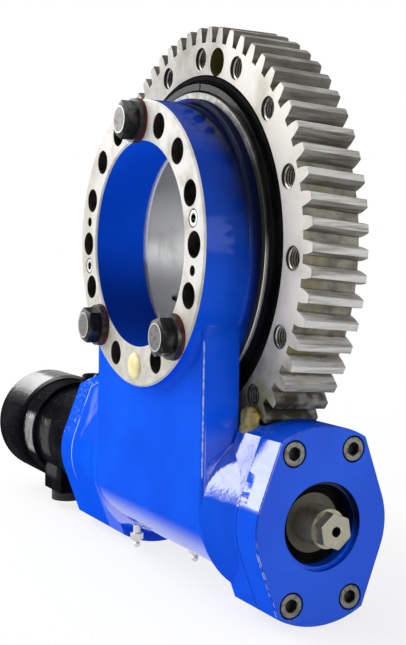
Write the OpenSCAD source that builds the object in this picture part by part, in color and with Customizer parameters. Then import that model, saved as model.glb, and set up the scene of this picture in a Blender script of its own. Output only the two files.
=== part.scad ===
// Slewing drive: a worm turns a toothed ring on a ball race.
// Millimetres. The origin is the centre of the machined ring face, which looks along -Y.
// The ring turns about Y, the worm about X below it, and +Z is up.

/* [Barrel] */
// radius of the open centre bore in the cast barrel
bore_r = 74; // [66:1:76]
// wall of the barrel, from its bore to the edge of its machined face
barrel_wall = 28.7; // [26:0.1:31]
// length of the barrel from its machined face to the bearing
barrel_l = 40.7; // [34:0.1:46]
// how far the foot that the barrel seats with stands out
foot_step = 3.3; // [1.3:0.1:6.3]
// thickness of that foot
foot_w = 4.5; // [3:0.5:6]
// chamfer on the edges of the machined face
face_edge = 1.2; // [0.5:0.1:2]
// radius of the fillet round the barrel's foot
foot_fillet_r = 3; // [1:0.5:3]

/* [Bolt circle in the face] */
// how many holes go through the barrel
frame_hole_n = 16; // [8:4:20]
// radius of each hole
frame_hole_r = 9; // [8.5:0.1:9.5]
// distance from the centre bore to the middle of the holes
frame_hole_step = 14; // [13:0.1:16]
// radius of the M16 threads in the bearing
frame_thread_r = 8; // [6:0.5:8]
// depth of those threads
frame_thread_l = 30; // [20:1:36]
// radius of the small grease ports between the bolt holes
port_r = 3.65; // [2:0.1:4]
// radius of the screwed plug in two of the ports
port_plug_r = 6.2; // [5:0.1:7]
// length of that plug
port_plug_l = 10; // [6:0.5:14]
// width across flats of the plug's socket
port_socket = 6; // [4:0.5:7]

/* [Bolts in the face] */
// width across flats of the hexagon heads
bolt_flats = 24; // [20:1:27]
// height of the heads
bolt_head = 10; // [7:0.5:12]
// radius of the chamfered disc on top of each head
bolt_disc_r = 9.8; // [8:0.1:11]
// radius of the steel washers
washer_r = 15.5; // [14:0.5:17]
// thickness of the steel washers
washer_t = 3; // [2:0.1:4]
// radius of the fibre washers under them
fibre_r = 16; // [14:0.5:17]
// thickness of the fibre washers
fibre_t = 2; // [1:0.1:3]
// how far the domed plug stands out of its hole
plug_dome = 3.2; // [2:0.1:5]
// length of the plug's stem
plug_stem = 12; // [8:1:20]
// width of the plug's rim past its hole
plug_rim = 0.8; // [0.4:0.1:1.5]

/* [Pillar] */
// half of the pillar's width
pillar_half = 88; // [84:1:94]
// how far the machined face stands in front of the pillar
pillar_step = 8.5; // [6:0.5:12]
// thickness of the pillar
pillar_t = 27.5; // [22:0.5:30]
// rounding of the pillar's upright edges
pillar_edge_r = 3; // [1:0.5:10]
// fillet between the barrel and the pillar's front
pillar_fillet_r = 5; // [2:0.5:6]

/* [Inner bearing ring] */
// how far the steel ring's bore lies outside the barrel's
ring_bore_step = 1; // [0.2:0.1:4]
// chamfer at the front of that bore
ring_chamfer = 4.2; // [2:0.1:6]
// width of the steel ring
ring_w = 45.5; // [40:0.5:48]
// radial gap in the middle of the bearing
ring_gap = 2.8; // [2:0.1:4]
// radius of the greasing hole in the bore
lube_hole_r = 2.5; // [1.5:0.5:4]
// depth and width of the lead-in at that hole
lube_edge = 1.5; // [1:0.1:2]

/* [Balls] */
// distance from the outside of the barrel to the middle of the balls
race_step = 9.3; // [8.3:0.1:11.3]
// radius of the balls
ball_r = 9; // [7:0.5:9.5]
// number of balls
ball_n = 32; // [24:1:32]
// play between a ball and its races
ball_play = 0.3; // [0.2:0.05:0.5]
// radius of the spacers between the balls
spacer_r = 6.5; // [4:0.5:7]

/* [Gear ring] */
// number of teeth
teeth = 61; // [57:1:61]
// distance from the middle of the balls to the pitch circle of the teeth
gear_rim = 40.5; // [34.5:0.1:43.5]
// pressure angle of the teeth
tooth_angle = 15; // [14:0.5:20]
// width of the gear ring
gear_w = 42.8; // [40:0.1:48]
// how far the gear's front lies behind the barrel's seat
gear_back_step = 5.5; // [4.5:0.1:8]
// chamfer on the tooth ends
tooth_edge = 0.8; // [0.4:0.1:1.2]
// distance from the middle of the balls to the middle of the threaded holes
gear_hole_step = 23; // [21:0.1:24]
// number of threaded holes
gear_hole_n = 16; // [8:4:18]
// radius of the threaded holes
gear_hole_r = 8; // [6:0.5:8.5]
// radius of the single dowel hole
dowel_r = 10; // [8:0.5:11]
// distance from the middle of the balls to the middle of the dowel hole
dowel_step = 21.2; // [19:0.1:22]

/* [Bearing seals] */
// how far the rubber seal in the gear's front reaches past the middle of the balls
seal_reach = 11.4; // [9:0.1:11.5]
// how far the retaining ring reaches past the middle of the balls
retainer_reach = 4.9; // [4:0.1:7]
// depth of the seal's seat
seal_d = 5; // [3:0.5:5]
// how far the steel retaining ring stands in front of the gear
retainer_t = 3.9; // [2:0.1:4.5]
// radial width of the retaining ring
retainer_w = 4.9; // [2.9:0.1:5.1]
// width of the split in the retaining ring
retainer_split = 1.6; // [1:0.1:3]
// how far the seal in the gear's back reaches past the middle of the balls
back_seal_reach = 7; // [5:0.5:9]

/* [Worm] */
// pitch radius of the worm
worm_pitch_r = 28; // [27.5:0.1:30]
// length of the thread
worm_l = 90; // [80:1:94]
// play between thread and teeth along the worm
backlash = 0.5; // [0.3:0.05:0.8]
// radius of the plain shaft beside the thread
worm_neck_r = 24; // [22:0.5:25]
// radius of the bearing journals
journal_r = 20; // [19:0.5:21]
// radius of the outer drive end
drive_r = 13.1; // [12:0.1:14]
// length of the round part of the drive end outside the journal
drive_l = 18.6; // [16:0.1:24]
// width across flats of the drive hexagon
drive_flats = 21; // [18:0.5:22]
// length of the hexagon
drive_hex_l = 8.7; // [5:0.1:12]
// radius of the turned face at the hexagon's end
drive_face_r = 11.3; // [9:0.1:12.5]
// radius of the centre hole in the hexagon
centre_hole_r = 3.2; // [2:0.1:4]
// depth of the centre hole
centre_hole_l = 12; // [6:1:20]

/* [Worm bearings] */
// outer radius of the tapered roller bearings
bearing_r = 34; // [33.8:0.1:36]
// width of the bearings
bearing_w = 19; // [17:0.5:20]
// distance from the worm's middle to the inner side of each bearing
bearing_x = 95; // [92:1:97]
// number of rollers in each bearing
roller_n = 17; // [12:1:18]
// radius of a roller at its middle
roller_r = 3.2; // [2.6:0.1:3.4]
// slope of the rollers' axes
roller_slope = 12.5; // [10:0.5:14]
// play between rollers and races
roller_play = 0.25; // [0.15:0.05:0.4]

/* [Worm housing] */
// wall round the worm
tunnel_wall = 12; // [9:0.5:14]
// where the wall starts to flare, from the middle
flare_x = 40; // [16:1:60]
// where the flange starts, from the middle
flange_x = 90; // [89:0.5:99]
// thickness of the housing's end flanges
flange_t = 29.3; // [20:0.1:33]
// radius of the flanges at top and bottom
flange_r = 65.5; // [64:0.5:68]
// radius of the flanges at the sides
flange_side_r = 50.4; // [49.5:0.1:53]
// running space round the gear's teeth
trough_gap = 2.5; // [1.5:0.5:3.5]
// running space beside the gear's faces
side_gap = 1.2; // [0.8:0.1:1.6]

/* [End cover] */
// thickness of the end cover
cover_t = 25.1; // [22:0.1:30]
// radius of the wide mouth of the cover
mouth_r = 29.4; // [28.5:0.1:31]
// depth of the wide mouth
mouth_d = 3.8; // [2:0.1:6]
// outer radius of the shaft seals
shaft_seal_r = 26.9; // [25.5:0.1:27.5]
// width of the shaft seals
shaft_seal_w = 8; // [6:0.5:10]
// how deep the seal lies behind the cover's face
shaft_seal_d = 11.4; // [9:0.1:13]
// radius of the cover's narrow bore behind the seal
throat_r = 22.5; // [21.5:0.5:24]
// rounding of the cover's front edge
cover_edge = 1; // [0.5:0.1:2]

/* [Flange screws] */
// radius of the screws
screw_r = 5; // [4:0.5:6]
// radius of the socket heads
screw_head_r = 7.9; // [7:0.1:8.5]
// height of the socket heads
screw_head = 10; // [7:0.5:11]
// width across flats of the sockets
screw_socket = 8; // [5:0.5:9]
// depth of the sockets
screw_socket_d = 5; // [3:0.5:6]
// radius of the sunk seats for the heads
sink_r = 9; // [8.6:0.1:9.4]
// sideways distance of the screws from the worm's axis
screw_side = 22.9; // [21.5:0.1:24]
// upward distance of the screws from the worm's axis
screw_up = 49.1; // [48:0.1:50]
// depth of the threaded holes in the flanges
screw_depth = 17; // [12:0.5:18]

/* [Motor adapter] */
// length of the adapter between the housing and the motor plate
adapter_l = 43.7; // [40:0.1:56]
// radius of the adapter's inner space
adapter_r = 30; // [28:0.5:32]
// thickness of the plate that carries the motor
plate_t = 25; // [20:0.5:30]
// how far the worm's hollow end reaches into the adapter
socket_reach = 20; // [17:0.5:26]
// radius of the motor's output shaft
motor_shaft_r = 12.5; // [11:0.5:14]
// length of that shaft inside the worm
motor_shaft_grip = 44; // [30:1:46]
// width of the key
key_w = 8; // [6:0.5:8]
// height of the key
key_h = 7; // [6:0.5:7]
// length of the key
key_l = 30; // [20:1:34]

/* [Motor] */
// radius of the centring collar on the motor
pilot_r = 41.3; // [38:0.1:42]
// height of that collar
pilot_h = 6; // [3:0.5:8]
// thickness of the motor's oval flange
motor_flange_t = 18; // [14:0.5:22]
// half of the distance between the two motor bolts
motor_bolt_half = 53.2; // [50:0.1:56]
// radius of the flange's ends round the bolts
motor_lobe_r = 13; // [12:0.5:14]
// radius of the two motor bolts
motor_bolt_r = 6; // [5:0.5:7]
// radius of their socket heads
motor_head_r = 9; // [8:0.1:9]
// height of those heads
motor_head = 12; // [8:0.5:14]
// grip of those bolts in the plate
motor_bolt_grip = 18; // [12:1:19]
// radius of the motor's cast body
motor_r = 44; // [42:0.5:46]
// length of the cast body behind its flange
motor_body_l = 62; // [54:1:70]
// radius of the gear ring section of the motor
gerotor_r = 47.5; // [46:0.5:50]
// length of that section
gerotor_l = 30; // [24:1:40]
// radius of the motor's rear section
valve_r = 51; // [50.5:0.5:54]
// length of the rear section
valve_l = 62; // [50:1:70]
// rounding of the rear section's edge
valve_edge_r = 5; // [2:0.5:6]
// radius of the circle of the motor's long screws
long_screw_circle_r = 38.5; // [37:0.5:39]
// number of the long screws
long_screw_n = 7; // [5:1:7]
// radius of the long screws
long_screw_r = 4; // [3:0.5:4.5]
// width across flats of their heads
long_screw_flats = 13; // [10:0.5:14]
// height of their heads
long_screw_head = 5.5; // [4:0.5:7]

/* [Motor ports] */
// half of the width of the port block
port_block_half = 35; // [33:0.5:38]
// length of the port block along the motor
port_block_l = 41; // [36:0.5:44]
// how far the port block reaches below the motor's axis
port_block_down = 50.5; // [48:0.5:56]
// half of the distance between the two ports
port_half = 20; // [18:0.5:21]
// radius of the threaded ports
port_bore_r = 10.5; // [8:0.5:11]
// depth of the ports
port_bore_l = 11; // [8:0.5:11]
// radius of the plastic caps in the ports
cap_r = 13; // [12:0.5:14]
// height of the caps below the block
cap_h = 9; // [6:0.5:12]
// radius of the boss on top of the motor
boss_r = 11; // [9:0.5:12]
// height of the boss above the motor's axis
boss_up = 54; // [50:0.5:56]
// width across flats of the drain plug
drain_flats = 17; // [13:0.5:19]
// height of the drain plug's head
drain_head = 5; // [3:0.5:7]

/* [Grease nipples] */
// width across flats of the nipples
nipple_flats = 9; // [8:0.5:11]
// height of the nipple's hexagon
nipple_hex = 5; // [4:0.5:7]
// length of the nipple's tip below the hexagon
nipple_tip = 7; // [5:0.5:9]
// radius of the nipple's ball end
nipple_ball_r = 2.8; // [2:0.1:3.2]
// radius of the nipple's thread
nipple_thread_r = 3; // [2.5:0.5:4]
// length of the nipple's thread
nipple_thread_l = 7; // [5:0.5:8]

/* [Hidden] */
// facets of true circles
$fn = 96;
// how far a cut runs past the surface it opens
over = 0.5;
// radial play of bolts in threads and of plugs in seats
thread_play = 0.1;
// radial play of a turning fit
run_play = 0.05;
// play of loose inner pieces
loose_play = 0.2;
// wall at the narrow end of the bearings' inner spigots
spigot_wall = 4;
// radius of the drain plug's thread
drain_thread_r = 6;
// turn of the drive hexagon about the worm's axis, in degrees
drive_a = 10;
// sections of the worm's thread in one turn
thread_steps = 36;
barrel_r = bore_r + barrel_wall;
foot_r = barrel_r + foot_step;
frame_circle_r = bore_r + frame_hole_step;
ring_bore_r = bore_r + ring_bore_step;
race_r = barrel_r + race_step;
seal_r = race_r + seal_reach;
seal_band_r = race_r + retainer_reach;
retainer_r = seal_band_r - retainer_w;
back_seal_r = race_r + back_seal_reach;
gear_circle_r = race_r + gear_hole_step;
dowel_circle_r = race_r + dowel_step;
pitch_a = 360 / teeth;
pitch_r = race_r + gear_rim;
tooth_module = 2 * pitch_r / teeth;
tip_r = pitch_r + tooth_module;
root_share = 1.25;
root_r = pitch_r - root_share * tooth_module;
worm_tip_r = worm_pitch_r + tooth_module;
worm_root_r = worm_pitch_r - root_share * tooth_module;
lead = PI * tooth_module;
lead_a = atan(lead / (2 * PI * worm_pitch_r));
base_r = pitch_r * cos(tooth_angle);
gear_y = barrel_l + gear_back_step;
gear_end = gear_y + gear_w;
worm_y = gear_y + gear_w / 2;
worm_z = -(pitch_r + worm_pitch_r);
inner_r = race_r - ring_gap / 2;
outer_r = race_r + ring_gap / 2;
race_y = worm_y;
// turn of the tooth nearest the bottom away from straight down, in degrees
tooth_turn = 0.53;
crest_x = pitch_r * sin(tooth_turn + pitch_a / 2);
// clock angles of the holes in the gear, from +X towards +Z
gear_hole_a = 109.2;
dowel_a = 76.2;
split_a = 82.8;
tunnel_r = bearing_r + tunnel_wall;
end_x = flange_x + flange_t;
bearing_end = bearing_x + bearing_w;
cover_x = end_x + cover_t;
seal_x = cover_x - shaft_seal_d;
plate_x = end_x + adapter_l;
motor_x = plate_x + plate_t;
worm_back_x = end_x + socket_reach;
body_x = motor_x + motor_flange_t;
gerotor_x = body_x + motor_body_l;
valve_x = gerotor_x + gerotor_l;
motor_end = valve_x + valve_l;
journal_end = seal_x - cover_edge;
drive_x = journal_end + drive_l;
trough_r = tip_r + trough_gap;
pillar_y = pillar_step;
pillar_back = pillar_step + pillar_t;
foot_corner_y = pillar_step + tunnel_r;
// radius at which the flared wall is flush with the pillar's front, and where
flush_r = worm_y - pillar_step;
flush_x = pillar_half + over;
// the flats of the flanges start at this angle from the level
corner_a = 60;
port_a = 180 / frame_hole_n;
// clock angles of the three bolts and of the domed plug
bolt_angles = [90, -45, 225];
plug_angle = 270;
lube_a = -146.4;
// where the lube hole comes through the bore
lube_y = worm_y - ball_r / 3;
bolt_l = fibre_t + barrel_l + frame_thread_l;
roller_a_top = 14;
roller_a_low = 11;
// middle of the rollers across the bearing's wall
roller_mid = (bearing_r + journal_r) / 2;
roller_l = bearing_w * 0.7;
// places of the two nipples: along X in pillar half widths, then back and down
// from the worm's axis in tunnel radii
nipple_shares = [[0, -0.33, 1], [-0.82, -0.65, 1.11]];
boss_x = body_x + motor_body_l / 2;
block_x = gerotor_x - port_block_l / 2;
cap_x = block_x;

steel = [0.80, 0.81, 0.80];
bright = [0.90, 0.90, 0.88];
paint = [0.05, 0.25, 0.85];
dark = [0.08, 0.08, 0.09];
rubber = [0.04, 0.04, 0.04];

// local Z laid along Y, then moved in Y
module along_y(y = 0) translate([0, y, 0]) rotate([-90, 0, 0]) children();

// local Z laid along the worm's axis, starting at x
module along_worm(x = 0) translate([x, worm_y, worm_z]) rotate([0, 90, 0]) children();

// the same, looking back along -X
module back_worm(x = 0) translate([-x, worm_y, worm_z]) rotate([0, -90, 0]) children();

// a child on a circle about Y, at a clock angle from +X towards +Z
module at_clock(a, r) rotate([0, -a, 0]) translate([r, 0, 0]) children();

module rod(r, l, from = 0) translate([0, 0, from]) cylinder(r = r, h = l);

module hex_rod(flats, l, from = 0)
  translate([0, 0, from]) cylinder(r = flats / 2 / cos(30), h = l, $fn = 6);

// a hexagon head whose top is turned down to a disc
module hex_head(flats, h, disc_r) {
  r = flats / 2 / cos(30);
  intersection() {
    hex_rod(flats, h);
    union() {
      rod(r + over, h - (r - disc_r) / 2 - over);
      translate([0, 0, h - (r - disc_r) / 2 - over])
        cylinder(r1 = r + over * 2, r2 = disc_r, h = (r - disc_r) / 2 + over);
    }
  }
}

// a child at each of the four flange screws, in the plane across the worm
module at_screws()
  for (s = [-1, 1], t = [-1, 1])
    translate([s * screw_up, t * screw_side, 0]) children();

// outline of the end flanges: round at top and bottom, flat shoulders, round sides
module flange_outline(top = flange_r, side = flange_side_r) {
  a = 180 - corner_a + acos(side / top);
  circle(r = side);
  intersection() {
    circle(r = top);
    square([2 * top, 2 * top * cos(corner_a)], center = true);
  }
  polygon([
    for (p = [[corner_a, top], [180 - a, side], [-(180 - a), side], [-corner_a, top],
      [corner_a - 180, top], [-a, side], [a, side], [180 - corner_a, top]])
      [p[1] * sin(p[0]), p[1] * cos(p[0])]
  ]);
}

// a flange plate with softened outer edges
module flange_plate(t, edge = cover_edge) {
  linear_extrude(t - edge) flange_outline();
  translate([0, 0, t - edge]) linear_extrude(edge)
    flange_outline(flange_r - edge / 2, flange_side_r - edge / 2);
}

module barrel() {
  along_y() rotate_extrude() polygon([
    [bore_r + face_edge, 0],
    [barrel_r - face_edge, 0],
    [barrel_r, face_edge],
    [barrel_r, barrel_l - foot_w - foot_fillet_r],
    for (k = [1:5])
      [barrel_r + min(foot_fillet_r, foot_r - barrel_r) * (1 - cos(k * 18)),
       barrel_l - foot_w - foot_fillet_r * (1 - sin(k * 18))],
    [foot_r, barrel_l - foot_w],
    [foot_r, barrel_l],
    [bore_r, barrel_l],
    [bore_r, face_edge]
  ]);
}

// fillet where the pillar's front meets the barrel
module barrel_fillet() {
  intersection() {
    along_y(pillar_y) rotate_extrude() difference() {
      translate([barrel_r - over, -pillar_fillet_r]) square(pillar_fillet_r + over);
      translate([barrel_r + pillar_fillet_r, -pillar_fillet_r]) circle(r = pillar_fillet_r);
    }
    translate([pillar_edge_r - pillar_half, 0, worm_z])
      cube([2 * (pillar_half - pillar_edge_r), pillar_back, -worm_z]);
  }
}

// the upright plate that joins the barrel to the worm tunnel
module pillar() {
  intersection() {
    translate([pillar_half, 0, 0]) rotate([0, -90, 0]) linear_extrude(2 * pillar_half) {
      translate([worm_z, pillar_y]) square([-worm_z, pillar_t]);
      intersection() {
        translate([worm_z, foot_corner_y]) circle(r = tunnel_r);
        translate([worm_z - tunnel_r, pillar_y]) square([tunnel_r, tunnel_r]);
      }
      translate([worm_z - tunnel_r, foot_corner_y])
        square([tunnel_r, worm_y - foot_corner_y]);
    }
    translate([0, 0, worm_z - tunnel_r - over]) linear_extrude(-worm_z + tunnel_r + 2 * over) {
      translate([-pillar_half, pillar_y + pillar_edge_r])
        square([2 * pillar_half, worm_y - pillar_y - pillar_edge_r]);
      translate([pillar_edge_r - pillar_half, pillar_y])
        square([2 * (pillar_half - pillar_edge_r), worm_y - pillar_y]);
      for (s = [-1, 1]) translate([s * (pillar_half - pillar_edge_r), pillar_y + pillar_edge_r])
        circle(r = pillar_edge_r);
    }
  }
}

// one half of the worm tunnel: its wall flares until it is flush with the pillar's
// front, and from there narrows to the round sides of the end flange
module tunnel_half() {
  rotate_extrude() polygon([
    [0, 0],
    [tunnel_r, 0],
    [tunnel_r, flare_x],
    [flush_r, flush_x],
    [flange_side_r - over, end_x - face_edge],
    [0, end_x - face_edge]
  ]);
  translate([0, 0, flange_x]) linear_extrude(flange_t) flange_outline();
}

module housing_cuts() {
  // centre bore
  along_y(-over) rod(bore_r, pillar_back + barrel_l);
  // worm bore with its bearing seats
  along_worm(-end_x - over) rod(bearing_r, 2 * (end_x + over));
  // trough for the gear ring
  along_y(gear_y - side_gap) rod(trough_r, gear_w + 2 * side_gap);
  // holes through the barrel
  for (k = [0:frame_hole_n - 1]) at_clock(k * 360 / frame_hole_n, frame_circle_r)
    along_y(-over) rod(frame_hole_r, barrel_l + 2 * over);
  for (a = [port_a, -port_a, 180 + port_a, 180 - port_a]) at_clock(a, frame_circle_r)
    along_y(-over) rod(port_r, barrel_l + 2 * over);
  for (a = [port_a, 180 + port_a]) at_clock(a, frame_circle_r)
    along_y(-over) rod(port_plug_r + thread_play, port_plug_l + over);
  // threaded holes for the cover, the adapter and the nipples
  for (s = [0, 1]) mirror([s, 0, 0]) along_worm(end_x - screw_depth) at_screws()
    rod(screw_r + thread_play, screw_depth + over);
  nipple_places() {
    rod(nipple_thread_r + thread_play, nipple_thread_l + 2 * over, -over);
    rod(nipple_flats * 0.65, tunnel_wall, -tunnel_wall);
  }
}

module housing() {
  color(paint) difference() {
    union() {
      barrel();
      barrel_fillet();
      pillar();
      along_worm() tunnel_half();
      back_worm() tunnel_half();
    }
    housing_cuts();
  }
}

// the steel inner ring of the bearing, bolted to the barrel from the front
module inner_ring() {
  color(steel) difference() {
    along_y(barrel_l) rotate_extrude() difference() {
      polygon([
        [ring_bore_r + ring_chamfer, 0],
        [inner_r - loose_play, 0],
        [inner_r, loose_play],
        [inner_r, ring_w - face_edge],
        [inner_r - face_edge, ring_w],
        [ring_bore_r + face_edge, ring_w],
        [ring_bore_r, ring_w - face_edge],
        [ring_bore_r, ring_chamfer]
      ]);
      translate([race_r, race_y - barrel_l]) circle(r = ball_r + ball_play);
    }
    for (k = [0:frame_hole_n - 1]) at_clock(k * 360 / frame_hole_n, frame_circle_r)
      along_y(barrel_l - over) rod(frame_thread_r + thread_play, frame_thread_l + over);
    translate([0, lube_y, 0]) rotate([0, -lube_a, 0]) rotate([0, 90, 0]) {
      rod(lube_hole_r, race_r - ring_bore_r + over, ring_bore_r - over);
      translate([0, 0, ring_bore_r - over])
        cylinder(r1 = lube_hole_r + lube_edge + over, r2 = lube_hole_r, h = lube_edge + over);
    }
  }
}

module at_bolts()
  for (a = bolt_angles) at_clock(a, frame_circle_r) children();

module ring_bolts() {
  color(dark) at_bolts() {
    along_y(-fibre_t - washer_t) rod(frame_thread_r, bolt_l);
    translate([0, -fibre_t - washer_t, 0]) rotate([90, 0, 0])
      hex_head(bolt_flats, bolt_head, bolt_disc_r);
  }
}

module flat_washer(r, t, y) {
  at_bolts() along_y(y) difference() {
    rod(r, t);
    rod(frame_thread_r + loose_play, t + 2 * over, -over);
  }
}

module bolt_washers() color(dark) flat_washer(washer_r, washer_t, -fibre_t - washer_t);

module fibre_washers() color([0.45, 0.2, 0.12]) flat_washer(fibre_r, fibre_t, -fibre_t);

// a domed plug pressed into the lowest hole of the face
module hole_plug() {
  color([0.93, 0.88, 0.70]) at_clock(plug_angle, frame_circle_r) along_y() {
    rod(frame_hole_r - thread_play, plug_stem);
    translate([0, 0, -plug_dome]) rotate_extrude() intersection() {
      square([frame_hole_r + plug_rim, plug_dome]);
      scale([(frame_hole_r + plug_rim) / plug_dome, 1]) translate([0, plug_dome])
        circle(r = plug_dome);
    }
  }
}

module port_plugs() {
  color(bright) for (a = [port_a, 180 + port_a]) at_clock(a, frame_circle_r)
    along_y(loose_play) difference() {
      rod(port_plug_r, port_plug_l - loose_play);
      hex_rod(port_socket, port_plug_l / 2, -over);
    }
}

// the cover over the free end of the worm
module end_cover() {
  color(paint) along_worm(end_x) difference() {
    union() {
      flange_plate(cover_t);
      rod(bearing_r - thread_play, end_x - bearing_end + over, bearing_end - end_x);
    }
    rod(throat_r, cover_t + bearing_w, -bearing_w);
    rod(shaft_seal_r + thread_play, cover_t, cover_t - shaft_seal_d - shaft_seal_w);
    rod(mouth_r, cover_t, cover_t - mouth_d);
    translate([0, 0, bearing_end - end_x - over])
      cylinder(r1 = bearing_r - spigot_wall, r2 = throat_r, h = shaft_seal_w);
    at_screws() {
      rod(screw_r + loose_play, cover_t + 2 * over, -over);
      rod(sink_r, cover_t, cover_t - screw_head - loose_play);
    }
  }
}

module cap_screw(l) {
  rod(screw_r, l + over, -l);
  difference() {
    rod(screw_head_r, screw_head);
    hex_rod(screw_socket, screw_socket_d + over, screw_head - screw_socket_d);
  }
}

module cover_screws() {
  color(dark) along_worm(cover_x - screw_head - loose_play) at_screws()
    cap_screw(cover_t - screw_head + screw_depth - 2 * over);
}

module lip_seal() {
  difference() {
    rod(shaft_seal_r, shaft_seal_w);
    rod(journal_r + run_play, shaft_seal_w + 2 * over, -over);
  }
}

module shaft_seal() color(rubber) along_worm(seal_x - shaft_seal_w) lip_seal();

// outer race of a tapered roller bearing, wide side towards the worm
module cup() {
  mid = roller_mid + (roller_r + roller_play) / cos(roller_a_top);
  rise = bearing_w / 2 * tan(roller_a_top);
  rotate_extrude() polygon([
    [mid + rise, 0],
    [bearing_r - thread_play, 0],
    [bearing_r - thread_play, bearing_w],
    [mid - rise, bearing_w]
  ]);
}

module right_cup() color(bright) along_worm(bearing_x) cup();

module left_cup() color(bright) back_worm(bearing_x) cup();

// inner race with the rib that the rollers' wide ends run on
module cone_race() {
  mid = roller_mid - (roller_r + roller_play) / cos(roller_a_low);
  rise = bearing_w / 2 * tan(roller_a_low);
  rib = (bearing_w - roller_l * cos(roller_slope)) / 2
    - roller_r * sin(roller_slope) - 2 * roller_play;
  rotate_extrude() polygon([
    [journal_r + run_play, 0],
    [roller_mid + roller_r / 3, 0],
    [roller_mid + roller_r / 3, rib],
    [mid + rise * (1 - 2 * rib / bearing_w), rib],
    [mid - rise, bearing_w],
    [journal_r + run_play, bearing_w]
  ]);
}

module right_cone() color(bright) along_worm(bearing_x) cone_race();

module left_cone() color(bright) back_worm(bearing_x) cone_race();

module rollers() {
  tilt = roller_l / 2 * tan(roller_a_top - roller_slope);
  for (k = [0:roller_n - 1]) rotate([0, 0, k * 360 / roller_n])
    translate([roller_mid, 0, bearing_w / 2]) rotate([0, -roller_slope, 0])
      translate([0, 0, -roller_l / 2])
        cylinder(r1 = roller_r + tilt, r2 = roller_r - tilt, h = roller_l, $fn = 24);
}

module right_rollers() color(bright) along_worm(bearing_x) rollers();

module left_rollers() color(bright) back_worm(bearing_x) rollers();

// the body between the housing and the motor plate
module motor_adapter() {
  color(paint) back_worm(end_x) difference() {
    union() {
      linear_extrude(adapter_l) flange_outline();
      rod(bearing_r - thread_play, end_x - bearing_end + over, bearing_end - end_x);
    }
    rod(throat_r, adapter_l + bearing_w + over, -bearing_w);
    rod(shaft_seal_r + thread_play, adapter_l, socket_reach / 2);
    rod(adapter_r, adapter_l, socket_reach / 2 + shaft_seal_w);
    translate([0, 0, bearing_end - end_x - over])
      cylinder(r1 = bearing_r - spigot_wall, r2 = throat_r, h = shaft_seal_w);
    at_screws() rod(screw_r + loose_play, adapter_l + 2 * over, -over);
  }
}

// the plate that carries the motor
module motor_plate() {
  color(paint) back_worm(plate_x) difference() {
    flange_plate(plate_t);
    rod(adapter_r, plate_t + 2 * over, -over);
    rod(pilot_r + thread_play, plate_t, plate_t - pilot_h - loose_play);
    at_screws() {
      rod(screw_r + loose_play, plate_t + 2 * over, -over);
      rod(sink_r, plate_t, plate_t - screw_head - loose_play);
    }
    for (s = [-1, 1]) translate([s * motor_bolt_half, 0, plate_t - motor_bolt_grip - over])
      rod(motor_bolt_r + thread_play, plate_t);
  }
}

module plate_screws() {
  color(dark) back_worm(motor_x - screw_head - loose_play) at_screws()
    cap_screw(plate_t - screw_head + adapter_l + screw_depth - 2 * over);
}

module adapter_seal() color(rubber) back_worm(end_x + socket_reach / 2) lip_seal();

// cast body of the hydraulic motor with its oval flange, port block and boss
module motor_housing() {
  color(dark) difference() {
    union() {
      back_worm(motor_x) {
        rod(pilot_r, pilot_h + over, -pilot_h);
        linear_extrude(motor_flange_t) {
          circle(r = motor_r);
          difference() {
            flange_ears();
            circle(r = motor_r - over);
          }
        }
        rod(motor_r, motor_flange_t + motor_body_l);
      }
      translate([-block_x - port_block_l / 2, worm_y - port_block_half,
        worm_z - port_block_down])
        cube([port_block_l, 2 * port_block_half, port_block_down]);
      translate([-boss_x, worm_y, worm_z]) rod(boss_r, boss_up);
    }
    for (s = [-1, 1]) {
      translate([-cap_x, worm_y + s * port_half, worm_z - port_block_down - over])
        rod(port_bore_r + thread_play, port_bore_l + over);
      back_worm(motor_x - over) translate([s * motor_bolt_half, 0, 0])
        rod(motor_bolt_r + loose_play, motor_flange_t + 2 * over);
    }
    back_worm(motor_x) {
      rod(motor_shaft_r + run_play, motor_flange_t + pilot_h + 2 * over, -pilot_h - over);
      rod(motor_shaft_r + spigot_wall, motor_body_l / 2, motor_flange_t);
      for (k = [0:long_screw_n - 1]) rotate((k + 0.5) * 360 / long_screw_n)
        translate([long_screw_circle_r, 0, motor_flange_t + motor_body_l * 3 / 4 - over])
          rod(long_screw_r + thread_play, motor_body_l);
    }
    translate([-boss_x, worm_y, worm_z + boss_up - drain_head * 2])
      rod(drain_thread_r + thread_play, drain_head * 3);
    translate([-boss_x, worm_y, worm_z + motor_r - spigot_wall])
      rod(lube_hole_r, boss_up - motor_r);
  }
}

// the two ends of the motor's flange, drawn in to its round middle
module flange_ears() {
  hull() {
    for (s = [-1, 1]) translate([s * motor_bolt_half, 0]) circle(r = motor_lobe_r);
    circle(r = motor_r * 0.72);
  }
}

module gerotor_ring() {
  color(dark) back_worm(gerotor_x) difference() {
    rod(gerotor_r, gerotor_l);
    long_holes(gerotor_l);
  }
}

module long_holes(l) {
  for (k = [0:long_screw_n - 1]) rotate((k + 0.5) * 360 / long_screw_n)
    translate([long_screw_circle_r, 0, -over]) rod(long_screw_r + loose_play, l + 2 * over);
}

module valve_section() {
  color(dark) back_worm(valve_x) difference() {
    rotate_extrude() {
      polygon([
        [0, 0],
        [valve_r - valve_edge_r / 2, 0],
        [valve_r, valve_edge_r / 2],
        [valve_r, valve_l - valve_edge_r],
        [valve_r - valve_edge_r, valve_l],
        [0, valve_l]
      ]);
      intersection() {
        translate([valve_r - valve_edge_r, valve_l - valve_edge_r]) circle(r = valve_edge_r);
        translate([valve_r - valve_edge_r, valve_l - valve_edge_r]) square(valve_edge_r);
      }
    }
    long_holes(valve_l);
  }
}

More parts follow.
